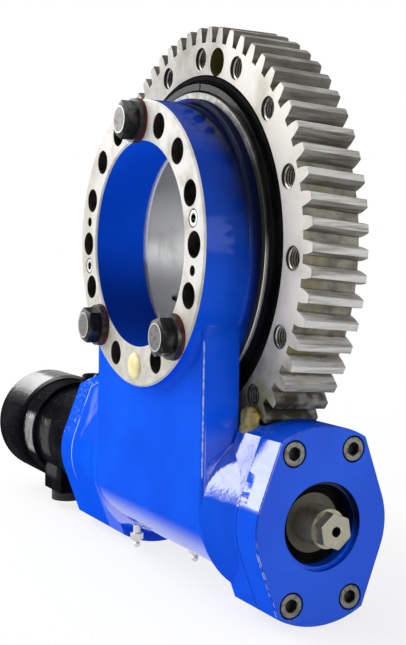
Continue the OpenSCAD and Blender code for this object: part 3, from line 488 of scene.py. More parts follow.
gearLook = {
    "faceClean": (0.79, 0.755, 0.69), "faceStain": (0.55, 0.515, 0.43),
    "toothClean": (0.64, 0.635, 0.605), "toothStain": (0.27, 0.26, 0.23),
    "root": (0.33, 0.31, 0.25), "rootDark": (0.13, 0.12, 0.095), "oil": (0.27, 0.24, 0.10),
    "topGrime": (0.20, 0.185, 0.165), "brown": (0.30, 0.22, 0.09),
    # the first colour on the next line is painted shade in the holes
    "holeShade": (0.050, 0.047, 0.040), "dowelOil": (0.11, 0.09, 0.028),
    # both colours on the next line are painted shade
    "tarnish": (0.185, 0.178, 0.145), "flank": (0.105, 0.095, 0.073),
    "smear": (0.25, 0.26, 0.11), "lowDirt": (0.045, 0.040, 0.026),
    "metallic": 0.06, "shine": 0.10, "edge": 0.0004, "roughness": (0.50, 0.34),  # face, root
    "lines": (420, 3, (1, 0.10, 1)), "lineDepth": 0.0001, "lineStrength": 0.5,
    "grain": (1500, 2, 0.40, 0.75, 0.0, 0.25),
    # the flat faces
    "faceFacing": (0.75, 0.9), "faceStains": (38, 5, 0.42, 0.75),
    "smudgeAndShadeBlotches": (17, 4, 0.56, 0.74, 0.0, 0.22), "smudgeRough": 0.6,
    "smudgeRadius": (0.124, 0.140), "rimRadius": (0.0098, 0.0082, 0.0, 0.5),
    # where the painted shade lies on the face, and its blotches
    "faceShadeLowZ": (-0.035, -0.085), "faceShadeTopZ": (0.095, 0.125, 0.0, 0.8),
    "faceShadeTopX": (0.060, 0.020), "faceShadeBlotches": (45, 4, 0.3, 0.7, 0.4275, 0.95),
    "smearAndPaintedSheenX": (0.088, 0.112, 0.006), "smearZ": (-0.080, -0.096),
    "smearSpots": (75, 4, 0.36, 0.56, 0.0, 0.8),
    # the teeth and the floor between them
    "toothRadius": 0.1460, "streaks": (210, 4, 0.40, 0.66), "streakStretch": (1, 0.07, 1),
    "streakRough": 0.6, "rootRadius": (0.1500, 0.1482), "rootNoise": (130, 4),
    "rootRagged": 0.006, "rootStains": (120, 5, 0.30, 0.72), "rootShare": 0.92,
    "oilSpots": (34, 3, 0.47, 0.56), "oilAndRimShadeY": (gearFront + 0.020, gearFront + 0.014, 0.0, 0.6),
    "topZ": (0.070, 0.125), "topStains": (60, 5, 0.35, 0.65, 0.45, 0.95),
    "flankTurn": (-0.35, -0.62), "flankShares": (0.60, 0.80),
    "dirtZ": (-0.088, -0.101), "dirtSpots": (90, 4, 0.35, 0.60, 0.55, 1.0),
    "holeRadius": 0.1455, "dowelCircle": 0.1332, "dowelAngle": 76.2, "dowelRadius": 0.0103,
}


def gearSteel(at, look):  # bright faces, grey teeth, tan grease on the floor between them
    radius = aboutRing(at)
    onFace = ramp(amount(at.facingY), *look["faceFacing"])
    offFace = gap(1.0, onFace)
    streak = blotches(at, *look["streaks"], stretch=look["streakStretch"],
                      rough=look["streakRough"])
    base = mixColour(onFace,
                     mixColour(streak, look["toothClean"], look["toothStain"]),
                     mixColour(blotches(at, *look["faceStains"]),
                               look["faceClean"], look["faceStain"]))
    toothed = both(offFace, more(radius, look["toothRadius"]))
    depth = ragged(radius, noise(at, *look["rootNoise"]), look["rootRagged"])
    inRoot = both(toothed, ramp(depth, *look["rootRadius"]))
    root = mixColour(blotches(at, *look["rootStains"]), look["root"], look["rootDark"])
    oily = both(inRoot, blotches(at, *look["oilSpots"]), ramp(at.y, *look["oilAndRimShadeY"]))
    smudge = both(onFace, blotches(at, *look["smudgeAndShadeBlotches"], rough=look["smudgeRough"]),
                  ramp(radius, *look["smudgeRadius"]))
    # painted shade on the walls of the holes
    inHoles = both(offFace, less(radius, look["holeRadius"]))
    angle = math.radians(look["dowelAngle"])
    fromDowel = length2(gap(at.x, look["dowelCircle"] * math.cos(angle)),
                        gap(at.z, look["dowelCircle"] * math.sin(angle)))
    inDowel = both(offFace, less(fromDowel, look["dowelRadius"]))
    rim = both(onFace, ramp(fromNearest(at, **gearHoles), *look["rimRadius"]))
    topGrime = both(toothed, ramp(at.z, *look["topZ"]), blotches(at, *look["topStains"]))
    # painted shade on the face, towards the bottom and at the upper left, in blotches
    tarnish = both(onFace, either(
        ramp(at.z, *look["faceShadeLowZ"]),
        both(ramp(at.z, *look["faceShadeTopZ"]),
             ramp(at.x, *look["faceShadeTopX"]))), blotches(at, *look["faceShadeBlotches"]))
    # painted shade on one flank of every tooth
    sideways = calc("DIVIDE", gap(both(at.facingZ, at.x), both(at.facingX, at.z)), radius)
    flank = both(toothed, ramp(sideways, *look["flankTurn"]), spread(streak, *look["flankShares"]))
    smear = both(onFace, ramp(at.z, *look["smearZ"]),
                 within(at.x, *look["smearAndPaintedSheenX"]), blotches(at, *look["smearSpots"]))
    dirt = both(toothed, ramp(at.z, *look["dirtZ"]), blotches(at, *look["dirtSpots"]))
    colour = marked(base, [
        (blotches(at, *look["grain"]), look["faceStain"]),
        (both(inRoot, look["rootShare"]), root), (oily, look["oil"]),
        (topGrime, look["topGrime"]), (flank, look["flank"]), (tarnish, look["tarnish"]),
        (smudge, look["brown"]), (rim, look["faceStain"]), (smear, look["smear"]),
        (dirt, look["lowDirt"]), (inHoles, look["holeShade"]), (inDowel, look["dowelOil"])])
    shader = addNode("ShaderNodeBsdfPrincipled", {
        "Metallic": look["metallic"], "Specular IOR Level": look["shine"]})
    plug(colour, shader.inputs["Base Color"])
    plug(spread(inRoot, *look["roughness"]), shader.inputs["Roughness"])
    plug(bump(noise(at, *look["lines"]), look["lineDepth"],
              look["lineStrength"], softEdge(look["edge"])), shader.inputs["Normal"])
    return shader


boltLook = {
    "black": {"clean": (0.012, 0.012, 0.012), "stained": (0.050, 0.048, 0.045),
              "lineScale": 300, "stainScale": 130, "lineDepth": 0.00012, "roughness": 0.26,
              "metallic": 0.45, "edge": 0.0006, "shine": 0.10},
    "bare": {"clean": (0.135, 0.132, 0.129), "stained": (0.060, 0.058, 0.056), "lineScale": 500,
             "stainScale": 260, "lineDepth": 0.00012, "roughness": 0.40, "metallic": 0.6,
             "edge": 0.0004},
    "rim": (0.42, 0.41, 0.40), "rimRadius": (0.0089, 0.0098, 0.0003),
    "holes": {"circle": 0.088, "count": 8, "first": 0.0},
    "topY": (-0.01455, -0.01490), "topFacing": (-0.90, -0.96),
}


def boltSteel(at, look):  # black heads, their turned tops worn to bare grey, brighter at the rim
    rim = within(fromNearest(at, **look["holes"]), *look["rimRadius"])
    black = steelShader(at, look["black"])
    bare = steelShader(at, look["bare"], [(rim, look["rim"])])
    top = both(ramp(at.y, *look["topY"]), ramp(at.facingY, *look["topFacing"]))
    return blendShaders(top, black, bare)


flangeScrewLook = {
    "black": {"clean": (0.020, 0.020, 0.021), "stained": (0.060, 0.056, 0.050),
              "lineScale": 500, "stainScale": 200, "lineDepth": 0.0001, "roughness": 0.35,
              "metallic": 0.5, "edge": 0.0004},
    "ring": {"clean": (0.19, 0.182, 0.158), "stained": (0.055, 0.052, 0.045), "lineScale": 600,
             "stainScale": 420, "lineDepth": 0.00015, "roughness": 0.38, "metallic": 0.55,
             "edge": 0.0004},
    "side": 0.0229, "up": 0.0491,  # of each screw from the worm's axis
    "ringRadius": (0.0048, 0.0074, 0.0004), "faceFacing": (0.80, 0.92),
}


def flangeScrewSteel(at, look):  # black oxide, rubbed bare on the flat ring round the socket
    side = gap(amount(gap(at.y, wormY)), look["side"])
    up = gap(amount(gap(at.z, wormZ)), look["up"])
    ring = both(within(length2(side, up), *look["ringRadius"]),
                ramp(amount(at.facingX), *look["faceFacing"]))
    black = steelShader(at, look["black"])
    bare = steelShader(at, look["ring"])
    return blendShaders(ring, black, bare)


blackPaint = {
    "light": (0.012, 0.013, 0.014), "dark": (0.004, 0.004, 0.005), "cloudScale": 34,
    "peelScale": 300, "peelHeight": 0.00025, "waveScale": 90, "waveHeight": 0.0008,
    "roughness": 0.30, "shine": 0.0, "coat": 0.004, "coatRoughness": 0.14, "edge": 0.0007,
    "coatIor": 3.0,
    "sideFacing": (-0.90, -0.96), "sideZ": (-0.222, -0.214), "strip": (-0.2965, -0.2715, 0.0012),
    "faintStrip": (-0.262, -0.240, 0.006), "faintShare": 0.2,
    "broken": (110, 4, 0.22, 0.50, 0.0, 1.0, (2.2, 1, 0.5), 0.6),
    "crownFacing": (0.40, 0.90), "crownX": -0.2975, "crownCoat": 0.6,
    "crownNoise": (60, 3, (0.4, 1, 1)), "crownShares": (0.7, 1.1),
    "specks": (520, 2, 0.64, 0.72, 0.0, 0.12),
}


def motorPaint(at, look):  # black, with glossier strips along the side, specks of dust in the coat
    strip = both(ramp(at.facingY, *look["sideFacing"]),
                 ramp(at.z, *look["sideZ"]),
                 either(within(at.x, *look["strip"]),
                        both(within(at.x, *look["faintStrip"]), look["faintShare"])),
                 blotches(at, *look["broken"]))
    crown = both(ramp(at.facingZ, *look["crownFacing"]), look["crownCoat"],
                 less(at.x, look["crownX"]),
                 spread(noise(at, *look["crownNoise"]), *look["crownShares"]))
    coat = either(strip, crown, blotches(at, *look["specks"]), look["coat"])
    return paintShader(at, look, (), coat)


boreSteel = {
    "clean": (0.42, 0.42, 0.415), "stained": (0.26, 0.26, 0.25), "lineScale": 240,
    "stainScale": 26, "lineDepth": 0.00006, "roughness": 0.44, "metallic": 0.60, "edge": 0.0004,
    # next line: painted shade, then two painted highlights; the first colour on the line after is
    # painted shade
    "shade": (0.20, 0.20, 0.205), "chamfer": (0.90, 0.90, 0.88), "polished": (0.95, 0.94, 0.88),
    "boltHoleShade": (0.012, 0.012, 0.012), "shoulder": (0.32, 0.315, 0.295),
    "shoulderDark": (0.17, 0.165, 0.15), "grease": (0.040, 0.038, 0.024),
    "grain": (0.15, 2.2, 0.15), "holeRadius": (0.0785, 0.0975), "holeFacing": (0.9, 0.7),
    "edgeRadius": 0.0800, "edgeFacing": (0.30, 0.90, 0.05), "edgeZ": (-0.018, -0.008),
    "boreRadius": 0.0765, "boreMiddle": 0.010, "boreZ": (0.012, 0.045),
    "clouds": (15, 3, 0.50, 0.72, 0.0, 1.0, (1, 1.6, 0.7)), "cloudShare": 0.75,
    "outerRadius": 0.1015, "topZ": (0.045, 0.065), "topStains": (140, 5, 0.36, 0.62),
    "greasyX": (0.070, 0.092), "greasyZ": (0.070, 0.050, 0.0, 0.93),
    "shoulderHighlightRadius": 0.1096, "shoulderHighlightY": (0.0405, 0.0432, 0.0004),
    "shoulderHighlightFacing": (0.95, 0.80), "shoulderHighlightZ": (0.012, -0.012),
}


def bearingSteel(at, look):  # the inner ring: turned bore with painted shade away from its middle, painted highlights on its edges, painted shade inside its bolt holes
    radius, alongY = aboutRing(at), amount(at.facingY)
    # painted shade on the walls of the bolt holes
    inHole = both(between(radius, *look["holeRadius"]), ramp(alongY, *look["holeFacing"]))
    # painted highlight on the bore's edge chamfer, upper part only
    edge = both(less(radius, look["edgeRadius"]),
                within(alongY, *look["edgeFacing"]), ramp(at.z, *look["edgeZ"]))
    # painted shade on the bore away from its bright middle band, and in cloudy patches
    away = ramp(amount(gap(at.z, look["boreMiddle"])), *look["boreZ"])
    clouds = both(less(radius, look["boreRadius"]),
                  either(away, blotches(at, *look["clouds"])), look["cloudShare"])
    outer = more(radius, look["outerRadius"])
    top = both(outer, ramp(at.z, *look["topZ"]))
    wornAndPaintedHighlight = mixColour(blotches(at, *look["topStains"]), look["shoulder"], look["shoulderDark"])
    greasy = both(outer, ramp(at.x, *look["greasyX"]), ramp(at.z, *look["greasyZ"]))
    # painted highlight along the shoulder's outer edge, lower part only
    polished = both(more(radius, look["shoulderHighlightRadius"]),
                    within(at.y, *look["shoulderHighlightY"]),
                    ramp(alongY, *look["shoulderHighlightFacing"]),
                    ramp(at.z, *look["shoulderHighlightZ"]))
    return steelShader(at, look, [
        (top, wornAndPaintedHighlight), (greasy, look["grease"]), (polished, look["polished"]),
        (clouds, look["shade"]), (edge, look["chamfer"]), (inHole, look["boltHoleShade"])],
                       look["grain"])


shaftLook = {
    "clean": (0.42, 0.40, 0.31), "stained": (0.20, 0.185, 0.125), "lineScale": 260,
    "stainScale": 120, "lineDepth": 0.0001, "roughness": 0.36, "metallic": 0.6, "edge": 0.0005,
    "hexClean": (0.33, 0.32, 0.25), "hexX": (0.1507, 0.1512), "hexStains": (150, 3, 0.25, 0.55),
    # the last colour on the next line is painted shade
    "sideShare": 0.6, "faceFacing": (0.8, 0.95), "collar": (0.062, 0.058, 0.041),
    "neckRadius": 0.0129, "collarShare": 0.95, "groove": (0.040, 0.037, 0.028),
    "grooveX": 0.1405, "grooveWaves": 7800.0, "grooveLevels": (0.30, 0.9, 0.0, 0.75),
    "hole": (0.030, 0.026, 0.014), "holeRadius": 0.0034,
}


def wormSteel(at, look):  # greasy turned steel, lighter on the hexagon, with painted shade on the collar's face and the hexagon's sides
    radius = aboutWorm(at)
    hexagon = both(ramp(at.x, *look["hexX"]), blotches(at, *look["hexStains"]))
    face = ramp(amount(at.facingX), *look["faceFacing"])
    grooves = calc("SINE", both(radius, look["grooveWaves"]))
    turned = both(face, less(at.x, look["grooveX"]), ramp(grooves, *look["grooveLevels"]))
    # painted shade on the collar's face and on the hexagon's sides
    collar = both(face, more(radius, look["neckRadius"]), look["collarShare"])
    hexSideShade = both(hexagon, gap(1.0, face), look["sideShare"])
    return steelShader(at, look, [
        (collar, look["collar"]), (hexagon, look["hexClean"]), (hexSideShade, look["stained"]),
        (turned, look["groove"]), (less(radius, look["holeRadius"]), look["hole"])])


brightSteel = {
    "clean": (0.72, 0.71, 0.68), "stained": (0.52, 0.50, 0.45), "lineScale": 420,
    "stainScale": 90, "lineDepth": 0.00005, "roughness": 0.28, "metallic": 0.8, "edge": 0.0004,
}
threadSteel = {
    "clean": (0.50, 0.485, 0.43), "stained": (0.16, 0.15, 0.12), "lineScale": 600,
    "stainScale": 240, "lineDepth": 0.00006, "roughness": 0.30, "metallic": 0.7, "edge": 0.0002,
}
screwSteel = {
    "clean": (0.028, 0.028, 0.029), "stained": (0.075, 0.072, 0.068), "lineScale": 500,
    "stainScale": 200, "lineDepth": 0.0001, "roughness": 0.33, "metallic": 0.5, "edge": 0.0004,
}
plugLook = {
    "bright": {"clean": (0.62, 0.61, 0.58), "stained": (0.40, 0.39, 0.36), "lineScale": 700,
               "stainScale": 300, "lineDepth": 0.00008, "roughness": 0.34, "metallic": 0.5,
               "edge": 0.0004},
    "dark": (0.010, 0.010, 0.009), "holes": {"circle": 0.088, "count": 2, "first": 11.25},
    "socketRadius": (0.0034, 0.0031), "gapRadius": (0.0051, 0.0055),
}


def plugSteel(at, look):  # bright ring between painted shade in its socket and painted shade in the gap at the edge
    fromAxis = fromNearest(at, **look["holes"])
    dark = either(ramp(fromAxis, *look["socketRadius"]), ramp(fromAxis, *look["gapRadius"]))
    return steelShader(at, look["bright"], [(dark, look["dark"])])


retainerLook = {
    "light": (0.010, 0.010, 0.011), "dark": (0.004, 0.004, 0.004), "cloudScale": 50,
    "peelScale": 260, "peelHeight": 0.00015, "waveScale": 70, "waveHeight": 0.0004,
    "roughness": 0.24, "shine": 0.04, "coat": 0.065, "coatRoughness": 0.10, "edge": 0.0008,
}
rubberLook = {
    "light": (0.008, 0.008, 0.008), "dark": (0.003, 0.003, 0.003), "cloudScale": 60,
    "peelScale": 420, "peelHeight": 0.00010, "waveScale": 90, "waveHeight": 0.0004,
    "roughness": 0.30, "shine": 0.0, "coat": 0.022, "coatRoughness": 0.18, "edge": 0.0006,
}
capLook = {
    "light": (0.016, 0.016, 0.017), "dark": (0.008, 0.008, 0.009), "cloudScale": 80,
    "peelScale": 900, "peelHeight": 0.00006, "waveScale": 150, "waveHeight": 0.0002,
    "roughness": 0.42, "shine": 0.30, "coat": 0.0, "coatRoughness": 0.3, "edge": 0.0004,
}
creamLook = {
    "light": (0.88, 0.80, 0.44), "dark": (0.74, 0.64, 0.30), "cloudScale": 140,
    "peelScale": 800, "peelHeight": 0.0001, "waveScale": 200, "waveHeight": 0.0004,
    "roughness": 0.42, "shine": 0.25, "coat": 0.1, "coatRoughness": 0.3, "edge": 0.0005,
}
fibreLook = {
    "light": (0.17, 0.022, 0.016), "dark": (0.055, 0.012, 0.010), "cloudScale": 180,
    "peelScale": 900, "peelHeight": 0.00012, "waveScale": 260, "waveHeight": 0.0003,
    "roughness": 0.55, "shine": 0.15, "coat": 0.0, "coatRoughness": 0.4, "edge": 0.0003,
}
greaseLook = {
    "light": (0.60, 0.54, 0.12), "dark": (0.22, 0.155, 0.032), "cloudScale": 95,
    "peelScale": 420, "peelHeight": 0.00035, "waveScale": 140, "waveHeight": 0.0008,
    "roughness": 0.30, "shine": 0.35, "coat": 0.3, "coatRoughness": 0.2, "edge": 0.0006,
}


def finishOf(name, shade, look):  # a material, shaded by this function with this look
    made = bpy.data.materials.new(name)
    openTree(made)
    output = addNode("ShaderNodeOutputMaterial")
    plug(shade(places(), look), output.inputs[0])
    return made


finishes = {
    "casting": finishOf("blueCasting", blueCasting, castingLook),
    "cover": finishOf("blueCover", blueCover, coverLook),
    "motorEnd": finishOf("blueMotorEnd", blueMotorEnd, motorEndLook),
    "gear": finishOf("gearSteel", gearSteel, gearLook),
    "bolt": finishOf("boltSteel", boltSteel, boltLook),
    "flangeScrew": finishOf("flangeScrewSteel", flangeScrewSteel, flangeScrewLook),
    "bearing": finishOf("bearingSteel", bearingSteel, boreSteel),
    "worm": finishOf("wormSteel", wormSteel, shaftLook),
    "bright": finishOf("brightSteel", steelShader, brightSteel),
    "plug": finishOf("plugSteel", plugSteel, plugLook),
    "thread": finishOf("threadSteel", steelShader, threadSteel),
    "screw": finishOf("screwSteel", steelShader, screwSteel),
    "motor": finishOf("motorPaint", motorPaint, blackPaint),
    "retainer": finishOf("retainerBlack", paintShader, retainerLook),
    "rubber": finishOf("oilyRubber", paintShader, rubberLook),
    "cap": finishOf("capPlastic", paintShader, capLook),
    "cream": finishOf("creamPlastic", paintShader, creamLook),
    "fibre": finishOf("redFibre", paintShader, fibreLook),
    "grease": finishOf("oldGrease", paintShader, greaseLook),
}
print("finishes made:", len(finishes))

nodeFinish = {
    "housing": "casting", "inner_ring": "bearing", "ring_bolts": "bolt",
    "bolt_washers": "screw", "fibre_washers": "fibre", "hole_plug": "cream",
    "port_plugs": "plug", "end_cover": "cover", "cover_screws": "flangeScrew",
    "shaft_seal": "rubber", "right_cup": "bright", "left_cup": "bright",
    "motor_adapter": "motorEnd", "motor_plate": "motorEnd", "plate_screws": "flangeScrew",
    "adapter_seal": "rubber", "motor_housing": "motor", "gerotor_ring": "motor",
    "valve_section": "motor", "long_screws": "screw", "motor_bolts": "screw",
    "port_caps": "cap", "drain_plug": "motor", "grease_nipples": "bright",
    "gear_ring": "gear", "front_seal": "rubber", "seal_retainer": "retainer",
    "back_seal": "rubber", "balls": "bright", "ball_spacers": "cream",
    "worm_shaft": "worm", "right_cone": "bright", "left_cone": "bright",
    "motor_shaft": "bright", "shaft_key": "bright", "right_rollers": "bright",
    "left_rollers": "bright",
}


def dress(piece, finish):
    piece.data.materials.clear()
    piece.data.materials.append(finishes[finish])


for name, finish in nodeFinish.items():
    dress(bpy.data.objects[name], finish)
print("nodes dressed")


# pieces that are modelled here

mergeDistance = 0.000002


def pick(*pieces):  # selects these alone, the first of them active
    bpy.ops.object.select_all(action="DESELECT")
    for piece in pieces:
        piece.select_set(True)
    bpy.context.view_layer.objects.active = pieces[0]


def editAll():
    bpy.ops.object.mode_set(mode="EDIT")
    bpy.ops.mesh.select_all(action="SELECT")


def editFaces(piece, wanted):  # edit mode with these faces alone selected
    bpy.ops.object.mode_set(mode="OBJECT")
    for face in piece.data.polygons:
        face.select = wanted(face)
    bpy.ops.object.mode_set(mode="EDIT")


def settle(piece, sharp):  # place into the mesh, faces outwards, smooth under this angle
    pick(piece)
    bpy.ops.object.transform_apply()
    editAll()
    bpy.ops.mesh.remove_doubles(threshold=mergeDistance)
    bpy.ops.mesh.normals_make_consistent(inside=False)
    bpy.ops.object.mode_set(mode="OBJECT")
    bpy.ops.object.shade_smooth_by_angle(angle=math.radians(sharp))


def turnedRing(name, axis, outline, sides, sharp):
    # sweeps an outline of (place along the axis, radius) round the ring's or worm's axis
    turns = {"Y": (math.pi / 2, 0, 0), "X": (0, math.pi / 2, 0)}
    along = {"Y": Vector((0, 1, 0)), "X": Vector((1, 0, 0))}[axis]
    centre = {"Y": Vector((0, 0, 0)), "X": Vector((0, wormY, wormZ))}[axis]
    place, radius = outline[0]
    bpy.ops.mesh.primitive_circle_add(vertices=sides, radius=radius, rotation=turns[axis],
                                      location=centre + along * place)
    piece = bpy.context.object
    piece.name = name
    bpy.ops.object.transform_apply()
    editAll()
    for nextPlace, nextRadius in outline[1:] + outline[:1]:
        grow = nextRadius / radius
        bpy.ops.mesh.extrude_region_move(
            TRANSFORM_OT_translate={"value": along * (nextPlace - place)})
        bpy.ops.transform.resize(value=[1 if v else grow for v in along],
                                 center_override=centre + along * nextPlace)
        place, radius = nextPlace, nextRadius
    bpy.ops.object.mode_set(mode="OBJECT")
    settle(piece, sharp)
    return piece


faceSealShape = {
    # outline: back from the gear's face, and radius
    "outline": ((0.00005, 0.1121), (0.00005, 0.1171), (-0.0002, 0.1172), (-0.0009, 0.1178),
                (-0.0009, 0.1183), (0, 0.1186), (0, 0.1189), (-0.00063, 0.1193),
                (-0.0009, 0.1204), (-0.00063, 0.12195), (-0.00018, 0.12255),
                (0.0008, 0.12275), (0.0008, 0.12335), (0.0051, 0.12335), (0.0051, 0.1121)),
    "sides": 180, "sharp": 35,
}


def buildFaceSeal():  # rubber in the gear's front face: a rounded outer lip and two grooves
    shape = faceSealShape
    outline = [(gearFront + back, radius) for back, radius in shape["outline"]]
    piece = turnedRing("faceSeal", "Y", outline, shape["sides"], shape["sharp"])
    dress(piece, "rubber")
    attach(piece, "ring")
    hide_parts("front_seal")


shaftSealShape = {
    "lipRadius": 0.0203, "lipBack": 0.0006, "lipWidth": 0.0012, "outer": 0.0269,
    "depth": 0.008, "grooveSlope": 0.0003, "sides": 96, "sharp": 25,
    "grooves": ((0.0216, 0.0222, 0.0010), (0.0240, 0.0247, 0.0012)),  # from, to, depth
}


def buildShaftSeal(name, node, toRight):  # rubber ring with a lip on the worm and two grooves
    shape = shaftSealShape
    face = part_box(node)[1].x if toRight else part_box(node)[0].x
    inwards = -1 if toRight else 1
    slope = shape["grooveSlope"]
    outline = [(face + inwards * shape["lipBack"], shape["lipRadius"])]
    for start, end, depth in shape["grooves"]:
        outline += [(face, start - slope), (face + inwards * depth, start),
                    (face + inwards * depth, end), (face, end + slope)]
    outline += [(face, shape["outer"]), (face + inwards * shape["depth"], shape["outer"]),
                (face + inwards * shape["depth"], shape["lipRadius"] + shape["lipWidth"])]
    piece = turnedRing(name, "X", outline, shape["sides"], shape["sharp"])
    dress(piece, "rubber")
    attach(piece, "frame")
    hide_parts(node)


gearThreadShape = {
    "wall": 0.00806, "height": 0.00105, "pitch": 0.002, "turns": 20, "sides": 20,
    "start": 0.0016, "sharp": 30,  # start behind the gear's face
}


def buildGearThreads():  # a helical ridge on the wall of each threaded hole in the gear
    shape = gearThreadShape
    bpy.ops.mesh.primitive_circle_add(vertices=3, radius=shape["height"] * 2 / 3,
                                      rotation=(0, 0, math.pi / 2))
    first = bpy.context.object
    first.name = "gearThread"
    bpy.ops.object.transform_apply(location=False, rotation=True, scale=False)
    editAll()
    bpy.ops.transform.translate(value=(shape["wall"] - shape["height"] / 3, 0, 0))
    bpy.ops.object.mode_set(mode="OBJECT")
    helix = first.modifiers.new("helix", "SCREW")
    helix.axis = "Y"
    helix.screw_offset = shape["pitch"]
    helix.iterations = shape["turns"]
    helix.steps = helix.render_steps = shape["sides"]
    helix.use_normal_calculate = True
    bpy.ops.object.modifier_apply(modifier=helix.name)
    editAll()
    bpy.ops.mesh.fill_holes(sides=4)
    bpy.ops.object.mode_set(mode="OBJECT")
    circle, angle = gearHoles["circle"], math.radians(gearHoles["first"])
    first.location = (circle * math.cos(angle), gearFront + shape["start"],
                      circle * math.sin(angle))
    settle(first, shape["sharp"])
    threads = [first]
    while len(threads) < gearHoles["count"]:
        pick(threads[-1])
        bpy.ops.object.duplicate(linked=False)
        bpy.ops.transform.rotate(value=2 * math.pi / gearHoles["count"], orient_axis="Y",
                                 center_override=(0, 0, 0))
        threads.append(bpy.context.object)
        bpy.ops.object.transform_apply()
    for number, thread in enumerate(threads):
        thread.name = f"gearThread{number + 1}"
        dress(thread, "thread")
        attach(thread, "ring")


capShape = {
    "radius": 0.0130, "height": 0.0089, "stemRadius": 0.0104, "stemLength": 0.0105,
    "ribs": 40, "ribDepth": 0.94, "ribGap": 0.00012, "spacing": 0.020, "rim": 0.0024,
    "bead": 0.0008, "recess": 0.0012, "clear": 0.0001, "sharp": 20,
    "level": 0.9,  # least share of a normal along Z on the faces above and below
}


def isRib(face, centre):  # every second face of the wall
    turn = math.atan2(face.center.y - centre.y, face.center.x - centre.x)
    return (abs(face.normal.z) < capShape["level"]
            and round(turn / math.pi * capShape["ribs"] - 0.5) % 2 == 0)


def buildPortCaps():  # ribbed plastic caps with a stem up in each port
    shape = capShape
    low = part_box("port_caps")[0]
    x = (low.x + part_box("port_caps")[1].x) / 2
    for number, side in enumerate((-1, 1)):
        centre = Vector((x, wormY + side * shape["spacing"],
                         low.z + shape["height"] / 2 + shape["clear"]))
        bpy.ops.mesh.primitive_cylinder_add(vertices=shape["ribs"] * 2, radius=shape["radius"],
                                            depth=shape["height"], location=centre)
        cap = bpy.context.object
        cap.name = f"portCap{number + 1}"
        bpy.ops.object.transform_apply()
        bpy.ops.object.mode_set(mode="EDIT")
        bpy.ops.mesh.select_mode(type="FACE")
        editFaces(cap, lambda face: isRib(face, centre))
        bpy.ops.mesh.inset(thickness=shape["ribGap"], depth=0, use_individual=True)
        bpy.ops.transform.resize(value=(shape["ribDepth"], shape["ribDepth"], 1),
                                 center_override=centre)
        editFaces(cap, lambda face: face.normal.z > shape["level"])
        bpy.ops.mesh.inset(thickness=shape["radius"] - shape["stemRadius"], depth=0)
        bpy.ops.mesh.extrude_region_move(
            TRANSFORM_OT_translate={"value": (0, 0, shape["stemLength"])})
        editFaces(cap, lambda face: face.normal.z < -shape["level"])
        bpy.ops.mesh.inset(thickness=shape["rim"], depth=0)
        bpy.ops.mesh.inset(thickness=shape["bead"], depth=-shape["recess"])
        bpy.ops.object.mode_set(mode="OBJECT")
        settle(cap, shape["sharp"])
        dress(cap, "cap")
        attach(cap, "frame")
        if number == 0:
            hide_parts("port_caps")


greaseShape = {
    # centre and radii of each lump
    "lumps": (((0.0945, 0.0415, -0.1120), (0.0062, 0.0046, 0.0052)),
              ((0.0905, 0.0415, -0.1135), (0.0042, 0.0042, 0.0046)),
              ((0.0990, 0.0420, -0.1145), (0.0048, 0.0040, 0.0040)),
              ((0.0950, 0.0410, -0.1175), (0.0090, 0.0050, 0.0050)),
              ((0.0950, 0.0400, -0.1235), (0.0090, 0.0055, 0.0050))),
    "subdivisions": 4, "voxel": 0.0011, "rough": 0.0024, "roughScale": 0.006,
    "clear": 0.0004, "sharp": 50,
}


def buildGrease():  # a lump pressed out between the casting and the gear
    shape = greaseShape
    lumps = []
    for centre, radii in shape["lumps"]:
        bpy.ops.mesh.primitive_ico_sphere_add(subdivisions=shape["subdivisions"], radius=1,
                                              location=centre)
        lump = bpy.context.object
        lump.scale = radii
        bpy.ops.object.transform_apply()
        lumps.append(lump)
    pick(*lumps)
    bpy.ops.object.join()
    piece = bpy.context.object
    piece.name = "greaseLump"
    remesh = piece.modifiers.new("knead", "REMESH")
    remesh.mode = "VOXEL"
    remesh.voxel_size = shape["voxel"]
    bpy.ops.object.modifier_apply(modifier=remesh.name)
    crumble = bpy.data.textures.new("crumble", "CLOUDS")
    crumble.noise_scale = shape["roughScale"]
    push = piece.modifiers.new("push", "DISPLACE")
    push.texture = crumble
    push.strength = shape["rough"]
    bpy.ops.object.modifier_apply(modifier=push.name)
    # pressed flat where the gear's face turns past it
    editAll()
    bpy.ops.mesh.bisect(plane_co=(0, gearFront - shape["clear"], 0), plane_no=(0, 1, 0),
                        use_fill=True, clear_outer=True)
    bpy.ops.object.mode_set(mode="OBJECT")
    settle(piece, shape["sharp"])
    dress(piece, "grease")
    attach(piece, "frame")


buildFaceSeal()
buildShaftSeal("coverSeal", "shaft_seal", True)
buildShaftSeal("motorEndSeal", "adapter_seal", False)
print("seals turned")
buildGearThreads()
buildPortCaps()
print("threads and port caps made")
buildGrease()
print("grease laid on")


# floor, light and camera

studio = {
    "floorSize": 30.0, "paper": (0.95, 0.95, 0.95, 1), "floorZ": cadBox[0][2] - 0.0005,
    "fade": (0.40, 1.1, 0.80, 1.0),  # metres from under the object, and how white there
    "worldColour": (0.94, 0.96, 1.0, 1), "worldStrength": 0.22,
    "aim": (0.0, 0.04, -0.04),
    # direction round from the front and up in degrees, distance, size, watts
    "lamps": {
        "windowLamp": (-46, 30, 2.4, (2.1, 2.5), 74),
        "rearLamp": (-92, 25, 2.6, (1.0, 1.3), 14),
        "sideLamp": (108, 6, 3.0, (1.5, 1.5), 35),
        "topLamp": (20, 80, 2.8, (2.2, 2.2), 18),
    },
}


def seenDirectly():  # by the camera, or in a gloss or a glass
    rays = addNode("ShaderNodeLightPath")
    return either((rays, "Is Camera Ray"), (rays, "Is Glossy Ray"), (rays, "Is Transmission Ray"))


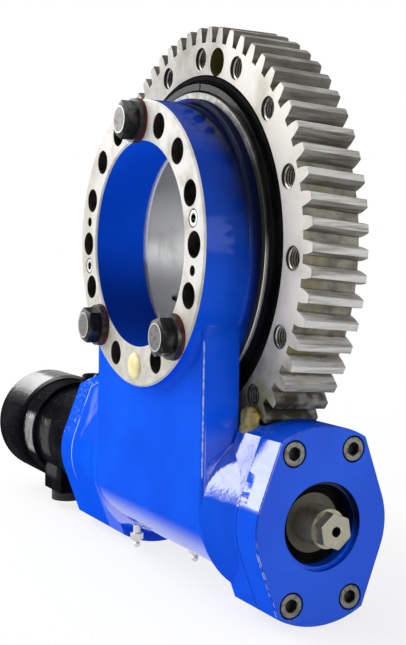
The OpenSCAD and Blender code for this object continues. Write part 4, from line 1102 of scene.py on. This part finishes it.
def floorPaper(at, look):  # pale paper, white farther out for the camera
    paper = addNode("ShaderNodeBsdfDiffuse", {"Color": look["paper"]})
    glow = addNode("ShaderNodeEmission", {"Color": (1, 1, 1, 1), "Strength": 1.0})
    share = both(seenDirectly(), ramp(length2(at.x, at.y), *look["fade"]))
    return blendShaders(share, paper, glow)


def buildStudio():
    bpy.ops.mesh.primitive_plane_add(size=studio["floorSize"], location=(0, 0, studio["floorZ"]))
    floor = bpy.context.object
    floor.name = "floor"
    floor.data.materials.append(finishOf("paleFloor", floorPaper, studio))

    world = bpy.data.worlds.new("studioWorld")
    bpy.context.scene.world = world
    openTree(world)
    output = addNode("ShaderNodeOutputWorld")
    soft = addNode("ShaderNodeBackground", {"Color": studio["worldColour"],
                                            "Strength": studio["worldStrength"]})
    white = addNode("ShaderNodeBackground", {"Color": (1, 1, 1, 1), "Strength": 1.0})
    plug(blendShaders(seenDirectly(), soft, white), output.inputs[0])

    for name, (around, above, distance, size, watts) in studio["lamps"].items():
        turn, rise = math.radians(around), math.radians(above)
        towards = Vector((math.sin(turn) * math.cos(rise), -math.cos(turn) * math.cos(rise),
                          math.sin(rise)))
        bpy.ops.object.light_add(type="AREA", location=Vector(studio["aim"]) + towards * distance)
        lamp = bpy.context.object
        lamp.name = name
        lamp.data.shape = "RECTANGLE"
        lamp.data.size, lamp.data.size_y = size
        lamp.data.energy = watts
        lamp.rotation_euler = towards.to_track_quat("Z", "Y").to_euler()


camera = {
    "place": (0.72619, -0.34095, -0.00392),
    "turn": (86.2989, -0.9545, 61.4120),  # degrees
    "lens": 61.941, "sensor": 36.0, "clip": (0.01, 100),
}


def buildCamera():
    bpy.ops.object.camera_add(location=camera["place"],
                              rotation=[math.radians(a) for a in camera["turn"]])
    made = bpy.context.object
    made.name = "photoCamera"
    made.data.lens = camera["lens"]
    made.data.sensor_width = camera["sensor"]
    made.data.sensor_fit = "AUTO"
    made.data.clip_start, made.data.clip_end = camera["clip"]
    bpy.context.scene.camera = made


buildStudio()
buildCamera()
bpy.context.scene.view_settings.view_transform = "Standard"
print("studio and camera ready")
